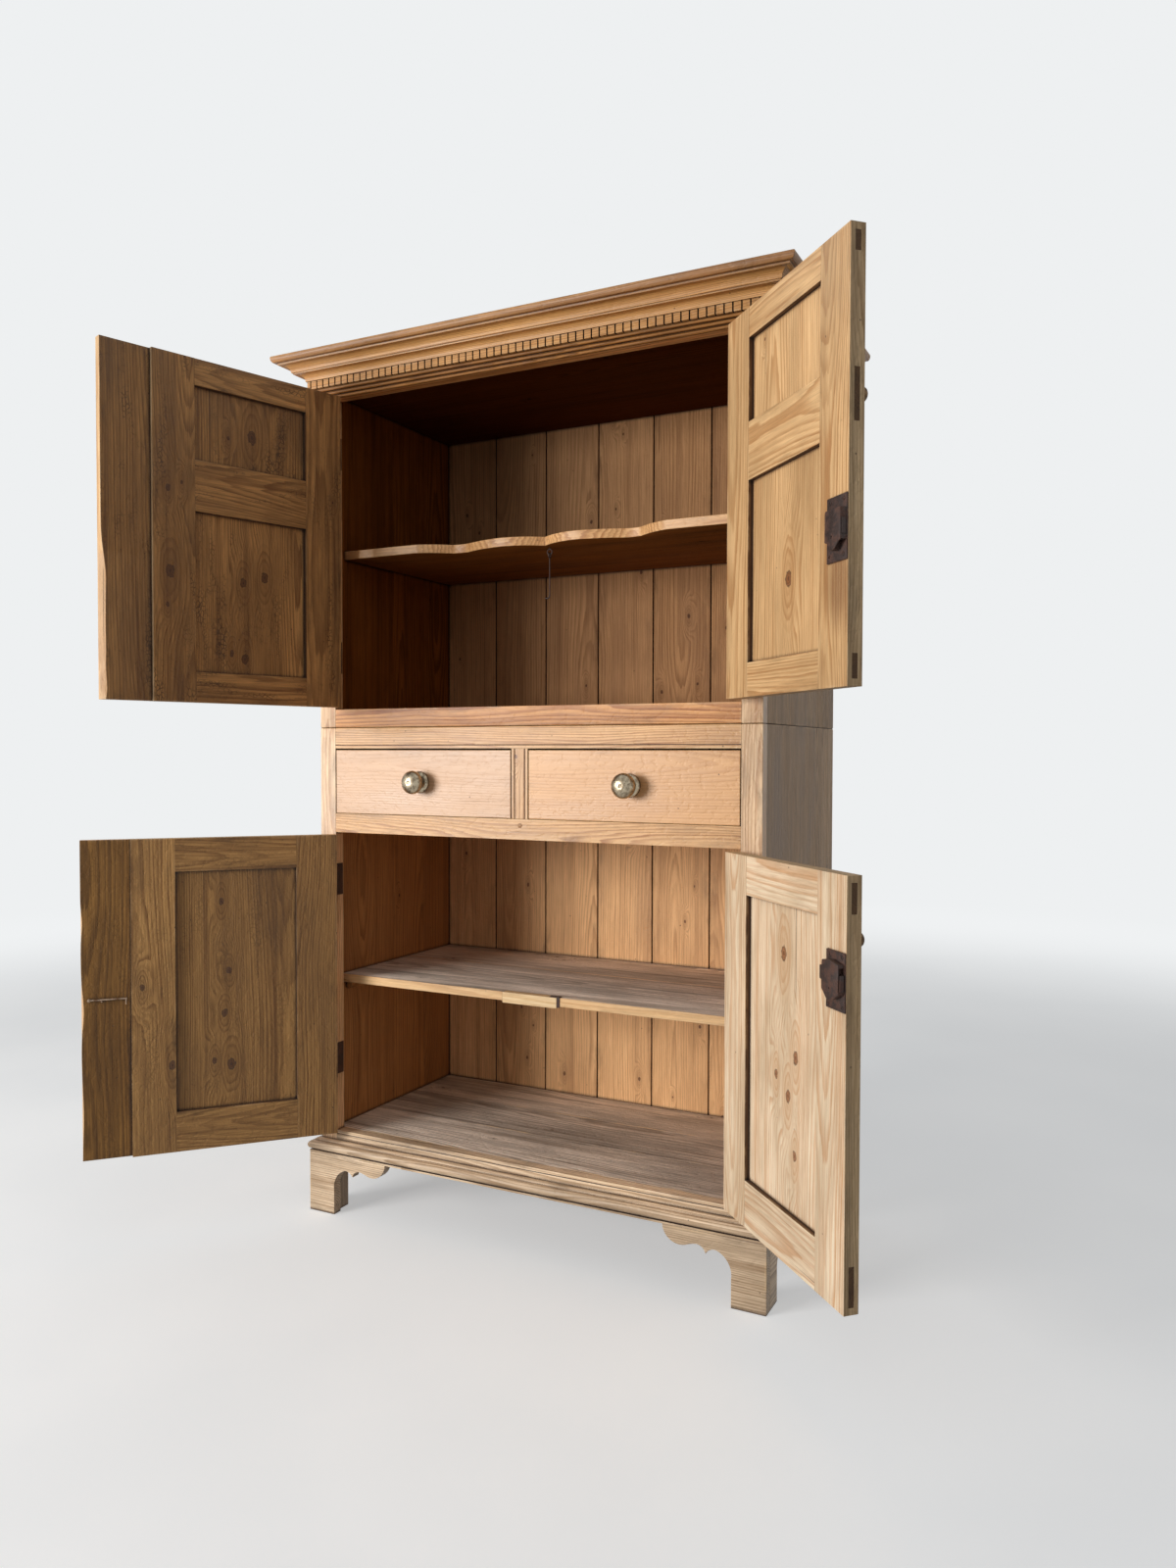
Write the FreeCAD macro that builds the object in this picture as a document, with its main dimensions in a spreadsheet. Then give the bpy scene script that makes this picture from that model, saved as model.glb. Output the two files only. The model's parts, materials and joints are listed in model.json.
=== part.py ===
import FreeCAD, Part
import os
import re
from types import SimpleNamespace

# Two-stage pine press cupboard, in millimetres.
# x runs left to right, y runs from the front plane of the case to its back, z runs up from the floor.

SIZES = {
    # case
    "case_width": 1094, "case_depth": 530, "case_shift": 24,
    "board_thick": 22, "frame_thick": 27, "stile_width": 44,
    "back_thick": 20, "back_pitch": 154.5, "back_gap": 2.5,
    "foot_height": 141, "base_height": 32, "floor_rise": 22, "floor_thick": 20,
    "waist_level": 1154, "top_rail_width": 49, "drawer_opening": 153, "drawer_rail_width": 45,
    "upper_case_height": 846, "upper_floor_rise": 43, "frieze_drop": 76, "ceiling_drop": 57, "ceiling_thick": 18,
    "left_wide_plank": 255, "left_back_plank": 140, "right_back_plank": 95,
    "muntin_width": 41, "bead_width": 7, "quirk": 2, "deck_thick": 16, "guide_height": 24,
    # shelves
    "shelf_thick": 20, "lower_shelf_rise": 366, "lower_shelf_front": 45, "shelf_joint": 270,
    "upper_shelf_rise": 383, "upper_shelf_front": 62, "shelf_wave": 44, "shelf_housing": 7, "cleat_size": 18,
    "patch_length": 138, "patch_depth": 14, "patch_proud": 3, "patch_drop": 4,
    # mouldings and feet
    "frieze_height": 25, "dentil_height": 18, "cornice_height": 51, "cornice_reach": 80,
    "dentil_reach": 20, "dentil_pitch": 18, "kerf_width": 3, "kerf_depth": 7, "reed_step": 4.5, "reed_reach": 4,
    "base_reach": 25, "base_nose": 10, "foot_reach": 21, "foot_thick": 24, "leg_width": 73, "leg_depth": 69,
    "foot_block": 40,
    # doors
    "hinge_gap": 3, "meeting_gap": 2, "door_clear": 4, "closing_width": 102, "closing_thick": 18,
    "door_stile": 92, "upper_top_rail": 56, "upper_mid_drop": 211, "upper_mid_rail": 108,
    "upper_bottom_rail": 64, "lower_top_rail": 74, "lower_bottom_rail": 90,
    "panel_thick": 9, "panel_set": 8, "groove_depth": 8, "panel_play": 1, "tenon_thick": 10, "tenon_shoulder": 12,
    "upper_left_angle": 108, "upper_right_angle": 134.6, "lower_left_angle": 132, "lower_right_angle": 135,
    # hinges
    "pin_reach": 3.8, "knuckle_radius": 3.4, "pin_radius": 1.5, "pin_play": 0.05, "leaf_thick": 1.2,
    "leaf_depth": 24, "hinge_height": 74, "knuckle_gap": 0.4, "tab_inset": 2.2,
    "lower_hinge_rise": 168, "lower_hinge_drop": 108, "upper_hinge_rise": 119, "upper_hinge_drop": 122,
    # locks and knobs
    "lock_width": 62, "lock_depth": 16, "upper_lock_rise": 199, "upper_lock_height": 104,
    "lower_lock_drop": 219, "lower_lock_height": 95, "lock_plate": 3, "bolt_width": 26, "bolt_thick": 7,
    "bolt_play": 0.4, "bolt_length": 44, "door_knob_radius": 13, "door_knob_inset": 38,
    "upper_knob_drop": 253, "lower_knob_drop": 109, "knob_radius": 26.5, "knob_reach": 46,
    # drawers
    "drawer_clear": 1.5, "drawer_lift": 0.3, "drawer_back_gap": 40, "drawer_side": 12, "drawer_back_drop": 24,
    "drawer_bottom": 8, "drawer_bottom_rise": 7, "drawer_front": 22,
    # wire hook, strap and bar hook
    "wire_radius": 1.5, "eye_radius": 6, "ring_radius": 5.2, "eye_inset": 22, "hook_length": 84, "hook_bend": 7,
    "strap_length": 25, "strap_width": 6, "strap_depth": 10, "strap_thick": 1.6,
    "bar_radius": 1.8, "bar_length": 77, "bar_inset": 16, "bar_rise": 354, "bar_stand": 4, "bar_tip": 13,
}

# Heights and lengths that follow from the sizes.
LEVELS = {
    "base_rail_low": "foot_height + base_height",
    "floor_level": "base_rail_low + floor_rise",
    "top_rail_low": "waist_level - top_rail_width",
    "drawer_rail_high": "top_rail_low - drawer_opening",
    "drawer_rail_low": "drawer_rail_high - drawer_rail_width",
    "upper_floor_level": "waist_level + upper_floor_rise",
    "upper_case_top": "waist_level + upper_case_height",
    "ceiling_low": "upper_case_top - ceiling_drop",
    "frieze_low": "upper_case_top - frieze_drop",
    "dentil_low": "frieze_low + frieze_height",
    "cornice_low": "dentil_low + dentil_height",
    "cornice_high": "cornice_low + cornice_height",
    "lower_shelf_top": "floor_level + lower_shelf_rise",
    "upper_shelf_top": "upper_floor_level + upper_shelf_rise",
    "lower_door_low": "floor_level + door_clear",
    "lower_door_high": "drawer_rail_low - door_clear",
    "upper_door_low": "upper_floor_level + door_clear",
    "upper_door_high": "frieze_low - door_clear / 2",
    "upper_mid_low": "upper_door_high - upper_mid_drop - upper_mid_rail",
    "lower_hinge_bottom": "lower_door_low + lower_hinge_rise",
    "lower_hinge_top": "lower_door_high - lower_hinge_drop",
    "upper_hinge_bottom": "upper_door_low + upper_hinge_rise",
    "upper_hinge_top": "upper_door_high - upper_hinge_drop",
    "lower_lock_low": "lower_door_high - lower_lock_drop",
    "upper_lock_low": "upper_door_low + upper_lock_rise",
    "lower_knob_level": "lower_door_high - lower_knob_drop",
    "upper_knob_level": "upper_door_high - upper_knob_drop",
    "bar_level": "lower_door_low + bar_rise",
    "drawer_depth": "case_depth - back_thick - drawer_back_gap",
}

doc = FreeCAD.newDocument("press_cupboard")
sheet = doc.addObject("Spreadsheet::Sheet", "dims")
cells = {alias: str(value) for alias, value in SIZES.items()}
cells.update((alias, "=" + formula) for alias, formula in LEVELS.items())
for row, (alias, content) in enumerate(cells.items(), start=1):
    sheet.set(f"A{row}", alias)
    sheet.set(f"B{row}", content)
    sheet.setAlias(f"B{row}", alias)
doc.recompute()

size = SimpleNamespace(**{alias: float(sheet.get(alias)) for alias in cells})
nodes = []

# Expressions and figures that several pieces share.
HALF = "case_width / 2"
INSIDE = "(case_width / 2 - board_thick)"
OPENING = "(case_width / 2 - stile_width)"
BACK = "(case_depth - back_thick)"
PIVOT = "(case_width / 2 - stile_width - hinge_gap / 2)"
EDGE = "hinge_gap / 2"
FRAME = "((case_width - 2 * stile_width - 2 * hinge_gap - meeting_gap - closing_width) / 2)"
half = size.case_width / 2
inside = half - size.board_thick
opening = half - size.stile_width


def bind(thing, prop, text):
    """Ties a property to the sheet; words in the text are cell names."""
    thing.setExpression(prop, re.sub(r"[a-z][a-z_]+", lambda word: "dims." + word.group(0), str(text)))


def place(thing, x, y, z):
    for axis, text in zip("xyz", (x, y, z)):
        bind(thing, f"Placement.Base.{axis}", text)


def board(name, low, high):
    """A square-cut board between two corners."""
    box = doc.addObject("Part::Box", name)
    for prop, start, end in zip(("Length", "Width", "Height"), low, high):
        bind(box, prop, f"({end}) - ({start})")
    place(box, *low)
    return box


def mirrored_boards(name, low, high):
    """The same board on the left and on the right of the case."""
    left = board(name + "_left", (f"-({high[0]})", low[1], low[2]), (f"-({low[0]})", high[1], high[2]))
    right = board(name + "_right", low, high)
    return [left, right]


def rod(name, radius, length, at, turn=None):
    """A round bar that starts at a point and runs up, or along a turned direction."""
    bar = doc.addObject("Part::Cylinder", name)
    bind(bar, "Radius", radius)
    bind(bar, "Height", length)
    if turn:
        bar.Placement.Rotation = turn
    place(bar, *at)
    return bar


def ring(name, radius, wire, at, turn, sweep=360):
    """A wire ring, or part of one, about a point."""
    loop = doc.addObject("Part::Torus", name)
    bind(loop, "Radius1", radius)
    bind(loop, "Radius2", wire)
    loop.Angle3 = sweep
    loop.Placement.Rotation = turn
    place(loop, *at)
    return loop


def cut(name, base, tools):
    result = doc.addObject("Part::Cut", name)
    result.Base = base
    result.Tool = tools[0] if len(tools) == 1 else group(name + "_tools", tools)
    return result


def fuse(name, shapes):
    result = doc.addObject("Part::MultiFuse", name)
    result.Shapes = shapes
    return result


def group(name, pieces):
    result = doc.addObject("Part::Compound", name)
    result.Links = pieces
    return result


def node(label, pieces, base=("case_shift", "0", "0"), turn=None):
    """One named sub-part of the cupboard, set in its place."""
    part = group(label, pieces)
    part.Label = label
    if turn:
        axis, angle = turn
        part.Placement.Rotation = FreeCAD.Rotation(FreeCAD.Vector(0, 0, axis), 1)
        bind(part, "Placement.Rotation.Angle", angle)
    place(part, *base)
    nodes.append(part)
    return part


def outline(body, name, start, steps):
    """A closed outline on the body's own ground plane: a step is a point, or two points for an arc."""
    drawing = body.newObject("Sketcher::SketchObject", name)
    plane = [datum for datum in body.Origin.OriginFeatures if datum.Role == "XY_Plane"][0]
    drawing.AttachmentSupport = [(plane, "")]
    drawing.MapMode = "FlatFace"
    here = FreeCAD.Vector(*start)
    for step in list(steps) + [start]:
        if len(step) == 2 and not isinstance(step[0], tuple):
            there = FreeCAD.Vector(*step)
            curve = Part.LineSegment(here, there)
        else:
            there = FreeCAD.Vector(*step[1])
            curve = Part.Arc(here, FreeCAD.Vector(*step[0]), there)
        drawing.addGeometry(curve, False)
        here = there
    return drawing


def pad(name, start, steps, length):
    """A body that is one outline pulled up to a length."""
    body = doc.addObject("PartDesign::Body", name)
    drawing = outline(body, name + "_outline", start, steps)
    rise = body.newObject("PartDesign::Pad", name + "_pad")
    rise.Profile = drawing
    bind(rise, "Length", length)
    return body


def turned_body(name, start, steps):
    """A body turned on a lathe about its upright axis."""
    body = doc.addObject("PartDesign::Body", name)
    drawing = outline(body, name + "_outline", start, steps)
    turning = body.newObject("PartDesign::Revolution", name + "_turning")
    turning.Profile = drawing
    turning.ReferenceAxis = (drawing, ["V_Axis"])
    turning.Angle = 360
    return body


RIGHTWARDS = FreeCAD.Rotation(FreeCAD.Vector(0, 1, 0), 90)
FRONTWARDS = FreeCAD.Rotation(FreeCAD.Vector(1, 0, 0), 90)
LEFT_AND_FRONT = FreeCAD.Rotation(FreeCAD.Vector(0, -1, 0), FreeCAD.Vector(0, 0, 1), FreeCAD.Vector(-1, 0, 0))
FRONT_AND_RIGHT = FreeCAD.Rotation(FreeCAD.Vector(1, 0, 0), FreeCAD.Vector(0, 0, 1), FreeCAD.Vector(0, -1, 0))
FRONT_AND_LEFT = FreeCAD.Rotation(FreeCAD.Vector(-1, 0, 0), FreeCAD.Vector(0, 0, 1), FreeCAD.Vector(0, 1, 0))


# Mouldings: one profile in reach and height, run along the front and mitred to the two sides.

def moulding(label, start, steps, reach_name, low, high):
    depth = size.case_depth
    reach = SIZES[reach_name]
    edge = half + reach
    plans = {
        "front": [(-half, 0), (half, 0), (edge, -reach), (-edge, -reach)],
        "right": [(half, 0), (edge, -reach), (edge, depth), (half, depth)],
        "left": [(-half, 0), (-half, depth), (-edge, depth), (-edge, -reach)],
    }
    runs = []
    for side, plan in plans.items():
        length = f"case_width + 2 * {reach_name}" if side == "front" else f"case_depth + {reach_name}"
        run = pad(f"{label}_{side}_run", start, steps, length)
        if side == "front":
            run.Placement.Rotation = LEFT_AND_FRONT
            place(run, f"{HALF} + {reach_name}", "0", "0")
        elif side == "right":
            run.Placement.Rotation = FRONT_AND_RIGHT
            place(run, HALF, "case_depth", "0")
        else:
            run.Placement.Rotation = FRONT_AND_LEFT
            place(run, f"-{HALF}", f"-{reach_name}", "0")
        mitre = pad(f"{label}_{side}_mitre", plan[0], plan[1:], f"({high}) - ({low})")
        place(mitre, "0", "0", low)
        mitred = doc.addObject("Part::Common", f"{label}_{side}")
        mitred.Base = run
        mitred.Tool = mitre
        runs.append(mitred)
    node(label, runs)


def cornice():
    low, high, out = size.cornice_low, size.cornice_high, size.cornice_reach
    foot = size.dentil_reach + 3
    moulding("cornice", (0, low), [
        (foot, low), (foot, low + 3),
        ((foot + 4, low + 11), (out - 40, low + 14)),
        (out - 37, low + 14), (out - 37, low + 17), (out - 34, low + 17),
        ((out - 31, low + 26), (out - 16, low + 32)),
        (out - 12, low + 32), (out - 12, low + 36), (out - 5, low + 36),
        ((out - 1, high - 10), (out, high - 4)),
        ((out - 1, high - 1), (out - 4, high)),
        (0, high),
    ], "cornice_reach", "cornice_low", "cornice_high")


def reeded_frieze():
    low, high = size.frieze_low, size.dentil_low
    reeds = 3
    reed = (high - low) / reeds
    steps = []
    for turn in range(reeds):
        base = low + turn * reed
        out = size.reed_reach + turn * size.reed_step
        steps.append((out, base))
        steps.append(((out + reed / 2.6, base + reed / 2), (out, base + reed - 1)))
        steps.append((out, base + reed))
    steps.append((0, high))
    moulding("reeded_frieze", (0, low), steps, "dentil_reach", "frieze_low", "dentil_low")


def base_moulding():
    low, high, out = size.foot_height, size.base_rail_low, size.base_reach
    nose = size.base_nose
    middle = (low + high) / 2
    moulding("base_moulding", (0, low), [
        (size.foot_reach, low), (size.foot_reach, middle - nose - 1.5), (out - nose, middle - nose - 1.5),
        (out - nose, middle - nose),
        ((out, middle), (out - nose, middle + nose)),
        (out - nose - 3, middle + nose), (out - nose - 3, middle + nose + 2),
        ((out - nose - 5, high - 2), (out - nose - 9, high)),
        (0, high),
    ], "base_reach", "foot_height", "base_rail_low")


def dentil_run(name, length):
    """A band with evenly spaced saw cuts in its face."""
    reach = size.dentil_reach
    body = pad(name, (0, 0), [(length, 0), (length, -reach), (0, -reach)], "cornice_low - dentil_low")
    count = int(length // size.dentil_pitch) - 1
    first = (length - count * size.dentil_pitch) / 2
    kerf = outline(body, name + "_kerf", (first, -reach), [
        (first + size.kerf_width, -reach), (first + size.kerf_width, size.kerf_depth - reach),
        (first, size.kerf_depth - reach)])
    sawn = body.newObject("PartDesign::Pocket", name + "_sawn")
    sawn.Profile = kerf
    sawn.Type = "ThroughAll"
    sawn.Reversed = True
    row_of_cuts = body.newObject("PartDesign::LinearPattern", name + "_row")
    row_of_cuts.Originals = [sawn]
    row_of_cuts.Direction = (kerf, ["H_Axis"])
    row_of_cuts.Length = count * size.dentil_pitch
    row_of_cuts.Occurrences = count + 1
    body.Tip = row_of_cuts
    return body


def dentil_band():
    front = dentil_run("dentil_front", size.case_width + 2 * size.dentil_reach)
    place(front, f"-({HALF} + dentil_reach)", "0", "dentil_low")
    right = dentil_run("dentil_right", size.case_depth)
    right.Placement.Rotation = FreeCAD.Rotation(FreeCAD.Vector(0, 0, 1), 90)
    place(right, HALF, "0", "dentil_low")
    left = dentil_run("dentil_left", size.case_depth)
    left.Placement.Rotation = FreeCAD.Rotation(FreeCAD.Vector(0, 0, 1), -90)
    place(left, f"-{HALF}", "case_depth", "dentil_low")
    node("dentil_band", [front, right, left])


# Feet: a scrolled bracket along the front and one along each side, with a block in the corner.

def bracket(name, leg):
    """A bracket board whose outer edge stands at zero and whose scroll runs inwards."""
    top = size.foot_height
    return pad(name, (0, 0), [
        (leg, 0), (leg, top - 83),
        ((leg + 8, top - 49), (leg + 31, top - 32)),
        ((leg + 46, top - 35), (leg + 54, top - 44)),
        ((leg + 61, top - 32), (leg + 74, top - 27.5)),
        ((leg + 86, top - 30), (leg + 97, top - 34)),
        ((leg + 133, top - 28), (leg + 148, top)),
        (0, top),
    ], "foot_thick")


def bracket_feet():
    pieces = []
    outer = f"({HALF} + foot_reach)"
    inner = f"({HALF} + foot_reach - foot_thick)"
    behind = "foot_thick - foot_reach"
    for side, sign in (("left", -1), ("right", 1)):
        front = bracket(f"front_bracket_{side}", size.leg_width)
        front.Placement.Rotation = FRONT_AND_RIGHT if sign < 0 else FRONT_AND_LEFT
        place(front, f"{sign} * {outer}", behind if sign < 0 else "-foot_reach", "0")
        pieces.append(front)
        low_x, high_x = (f"{inner} - foot_block", inner) if sign > 0 else (f"-{inner}", f"foot_block - {inner}")
        legs = (("fore", 1, size.leg_depth - size.foot_thick, behind), ("aft", -1, size.leg_depth, "case_depth"))
        for end, turn, leg, start in legs:
            flank = bracket(f"{end}_bracket_{side}", leg)
            flank.Placement.Rotation = FreeCAD.Rotation(
                FreeCAD.Vector(0, turn, 0), FreeCAD.Vector(0, 0, 1), FreeCAD.Vector(turn, 0, 0))
            place(flank, f"{sign} * {outer if sign * turn < 0 else inner}", start, "0")
            back = f"{start} + {turn} * foot_block"
            span = (start, back) if turn > 0 else (back, start)
            pieces.append(flank)
            pieces.append(board(f"{end}_block_{side}", (low_x, span[0], "0"), (high_x, span[1], "foot_height")))
    node("bracket_feet", pieces)


# Case boards.

def case_sides(label, low, high, housed=False):
    """The left side is three upright planks and the right side two; housed ones take a shelf's ends."""
    left_seams = ["frame_thick", "left_wide_plank", "case_depth - left_back_plank", "case_depth"]
    right_seams = ["frame_thick", "case_depth - right_back_plank", "case_depth"]
    planks = []
    for turn, (fore, aft) in enumerate(zip(left_seams, left_seams[1:])):
        planks.append(board(f"{label}_left_{turn}", (f"-{HALF}", fore, low), (f"-{INSIDE}", aft, high)))
    for turn, (fore, aft) in enumerate(zip(right_seams, right_seams[1:])):
        planks.append(board(f"{label}_right_{turn}", (INSIDE, fore, low), (HALF, aft, high)))
    if housed:
        planks = [cut(plank.Name + "_housed", plank, shelf_housings(plank.Name)) for plank in planks]
    node(label, planks)


def shelf_housings(label):
    """The grooves that take the two ends of the upper shelf."""
    return mirrored_boards(label + "_groove", (INSIDE, "upper_shelf_front", "upper_shelf_top - shelf_thick"),
                           (f"{INSIDE} + shelf_housing", BACK, "upper_shelf_top"))


def case_stiles(label, low, high):
    node(label, mirrored_boards(label, (OPENING, "0", low), (HALF, "frame_thick", high)))


def rail(name, low, high):
    return board(name, (f"-{OPENING}", "0", low), (OPENING, "frame_thick", high))


def back_boards(label, low, high):
    """Upright boards side by side, with an open joint between each two; the last one fills what is left."""
    count = int(2 * inside // size.back_pitch)
    boards = []
    for turn in range(count + 1):
        start = f"{turn} * back_pitch - {INSIDE}"
        end = f"{start} + back_pitch - back_gap" if turn < count else INSIDE
        boards.append(board(f"{label}_{turn}", (start, BACK, low), (end, "case_depth", high)))
    node(label, boards)


def inner_board(label, low, high):
    node(label, [board(label + "_board", (f"-{INSIDE}", "frame_thick", low), (INSIDE, BACK, high))])


def floor_boards():
    """The bottom of the lower case: three boards that run left to right."""
    count = 3
    low = "floor_level - floor_thick"
    deep = f"({BACK} - frame_thick) / {count}"
    boards = []
    for turn in range(count):
        start = f"frame_thick + {turn} * {deep}"
        end = f"{start} + {deep}"
        boards.append(board(f"floor_board_{turn}", (f"-{INSIDE}", start, low), (INSIDE, end, "floor_level")))
    node("lower_floor_boards", boards)


def upper_shelf():
    """A shelf housed at its ends, its front edge waved forward in each half and back at the centre."""
    front, wave = size.upper_shelf_front, size.shelf_wave
    hollow, lobe, centre = front + wave, front + wave * 0.35, front + wave * 1.15
    kink = opening * 0.63
    dip = kink * 0.69
    crest = kink * 0.32
    back = size.case_depth - size.back_thick
    end = inside + size.shelf_housing
    body = pad("upper_shelf_plank", (-end, front), [
        (-kink, front),
        ((-(kink + dip) / 2 - 4, front + wave * 0.42), (-dip - 22, hollow - 3)),
        ((-dip, hollow), (-dip + 22, hollow - 3)),
        ((-crest - 34, lobe + 5), (-crest, lobe)),
        ((-crest / 2, lobe + 7), (0, centre)),
        ((crest / 2, lobe + 7), (crest, lobe)),
        ((crest + 34, lobe + 5), (dip - 22, hollow - 3)),
        ((dip, hollow), (dip + 22, hollow - 3)),
        (((kink + dip) / 2 + 4, front + wave * 0.42), (kink, front)),
        (end, front), (end, back), (-end, back),
    ], "shelf_thick")
    place(body, "0", "0", "upper_shelf_top - shelf_thick")
    node("upper_shelf", [body])


def lower_shelf():
    """Two boards, the front one notched at its edge for a let-in strip that hangs a little lower."""
    low, high = "lower_shelf_top - shelf_thick", "lower_shelf_top"
    joint = "lower_shelf_front + shelf_joint"
    front = board("lower_shelf_front_board", (f"-{INSIDE}", "lower_shelf_front", low), (INSIDE, joint, high))
    back = board("lower_shelf_back_board", (f"-{INSIDE}", joint, low), (INSIDE, BACK, high))
    near, far = ("-patch_length / 2", "lower_shelf_front - patch_proud", f"{low} - patch_drop"), (
        "patch_length / 2", "lower_shelf_front + patch_depth", high)
    notch = board("lower_shelf_notch", near, far)
    node("lower_shelf", [cut("lower_shelf_notched", front, [notch]), back])
    node("shelf_patch", [board("shelf_patch_strip", near, far)])


def shelf_cleats():
    """The strips that carry the lower shelf."""
    top = "lower_shelf_top - shelf_thick"
    node("shelf_cleats", mirrored_boards("lower_cleat", (
        f"{INSIDE} - cleat_size", "lower_shelf_front + cleat_size", f"{top} - cleat_size"), (INSIDE, BACK, top)))


def drawer_deck():
    """The board that the drawers run on, with guides at the sides and between the drawers."""
    low, high = "drawer_rail_high - deck_thick", "drawer_rail_high"
    deck = board("drawer_deck_board", (f"-{INSIDE}", "frame_thick", low), (INSIDE, BACK, high))
    raised = "drawer_rail_high + guide_height"
    middle = board("drawer_guide_middle", ("-muntin_width / 2", "frame_thick", high),
                   ("muntin_width / 2", BACK, raised))
    sides = mirrored_boards("drawer_guide", (OPENING, "frame_thick", high), (INSIDE, BACK, raised))
    node("drawer_deck", [deck, middle] + sides)


def drawer_muntin():
    """The post between the drawers, with a bead worked along each edge."""
    post = board("drawer_muntin_post", ("-muntin_width / 2", "0", "drawer_rail_high"),
                 ("muntin_width / 2", "frame_thick", "top_rail_low"))
    bead_edge = "muntin_width / 2 - bead_width"
    quirks = mirrored_boards("drawer_muntin_quirk", (f"{bead_edge} - quirk", "0", "drawer_rail_high"),
                             (bead_edge, "quirk", "top_rail_low"))
    node("drawer_muntin", [cut("drawer_muntin_beaded", post, quirks)])


def beaded_rail(name, low, high, bead):
    """A rail with a bead along one edge, set off by a narrow groove that starts at a given height."""
    groove = board(name + "_quirk", (f"-{OPENING}", "0", bead), (OPENING, "quirk", f"{bead} + quirk"))
    return cut(name, rail(name + "_blank", low, high), [groove])


# Doors: each is drawn shut, with its hinge pin at zero, and then swung to its rest angle.

HANDS = {"upper_left": 1, "upper_right": -1, "lower_left": 1, "lower_right": -1}


def door_span(door):
    """The bottom and the top of a door."""
    level = door.split("_")[0]
    return f"{level}_door_low", f"{level}_door_high"


def door_board(name, hand, low, high):
    """A board of a door; its first measure runs from the hinge pin towards the free edge."""
    if hand > 0:
        return board(name, low, high)
    return board(name, (f"-({high[0]})", low[1], low[2]), (f"-({low[0]})", high[1], high[2]))


def door_node(door, label, pieces):
    hand = HANDS[door]
    base = (f"case_shift - {hand} * {PIVOT}", "-pin_reach", "0")
    return node(label, pieces, base, (-hand, f"{door}_angle"))


def door_rails(door):
    low, high = door_span(door)
    level = door.split("_")[0]
    spans = [(low, f"{low} + {level}_bottom_rail")]
    if level == "upper":
        spans.append(("upper_mid_low", "upper_mid_low + upper_mid_rail"))
    spans.append((f"{high} - {level}_top_rail", high))
    return spans


def door_frame(door):
    hand = HANDS[door]
    low, high = door_span(door)
    front, back = "pin_reach", "pin_reach + frame_thick"
    near, far = f"{EDGE} + door_stile", f"{EDGE} + {FRAME} - door_stile"
    middle = "(pin_reach + frame_thick / 2)"
    spans = door_rails(door)

    def panel_between(name, below, above, grip):
        return door_board(name, hand, (f"{near} - {grip}", "pin_reach + panel_set", f"{below} - {grip}"),
                          (f"{far} + {grip}", "pin_reach + panel_set + panel_thick", f"{above} + {grip}"))

    grooves = []
    panels = []
    for turn in range(len(spans) - 1):
        below, above = spans[turn][1], spans[turn + 1][0]
        grooves.append((f"{door}_groove_{turn}", below, above, "groove_depth"))
        panels.append(panel_between(f"{door}_panel_{turn}", below, above, "(groove_depth - panel_play)"))

    def tenon(name, span):
        return door_board(name, hand, (EDGE, f"{middle} - tenon_thick / 2", f"{span[0]} + tenon_shoulder"),
                          (f"{EDGE} + {FRAME}", f"{middle} + tenon_thick / 2", f"{span[1]} - tenon_shoulder"))

    stiles = []
    for place_name, start in (("hinge", EDGE), ("free", far)):
        end = f"{start} + door_stile"
        blank = door_board(f"{door}_{place_name}_blank", hand, (start, front, low), (end, back, high))
        tools = [tenon(f"{door}_{place_name}_mortise_{turn}", span) for turn, span in enumerate(spans)]
        tools += [panel_between(f"{door}_{place_name}_{groove[0]}", *groove[1:]) for groove in grooves]
        tools = [fuse(f"{door}_{place_name}_hollows", tools)]
        stiles.append(cut(f"{door}_{place_name}_stile", blank, tools))
    rails = []
    for turn, span in enumerate(spans):
        blank = door_board(f"{door}_rail_blank_{turn}", hand, (near, front, span[0]), (far, back, span[1]))
        tools = [panel_between(f"{door}_rail_{turn}_{groove[0]}", *groove[1:]) for groove in grooves]
        grooved = cut(f"{door}_rail_grooved_{turn}", blank, tools)
        rails.append(fuse(f"{door}_rail_{turn}", [grooved, tenon(f"{door}_tenon_{turn}", span)]))
    door_node(door, f"{door}_stiles", stiles)
    door_node(door, f"{door}_rails", rails)
    door_node(door, f"{door}_panels", panels)


def closing_board(door):
    """The plank at the free edge of a left door, thinner than the frame so that a bolt can pass behind it."""
    low, high = door_span(door)
    start = f"{EDGE} + {FRAME}"
    plank = door_board(f"{door}_plank", 1, (start, "pin_reach", low),
                       (f"{start} + closing_width", "pin_reach + closing_thick", high))
    door_node(door, f"{door}_closing_board", [plank])


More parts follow.
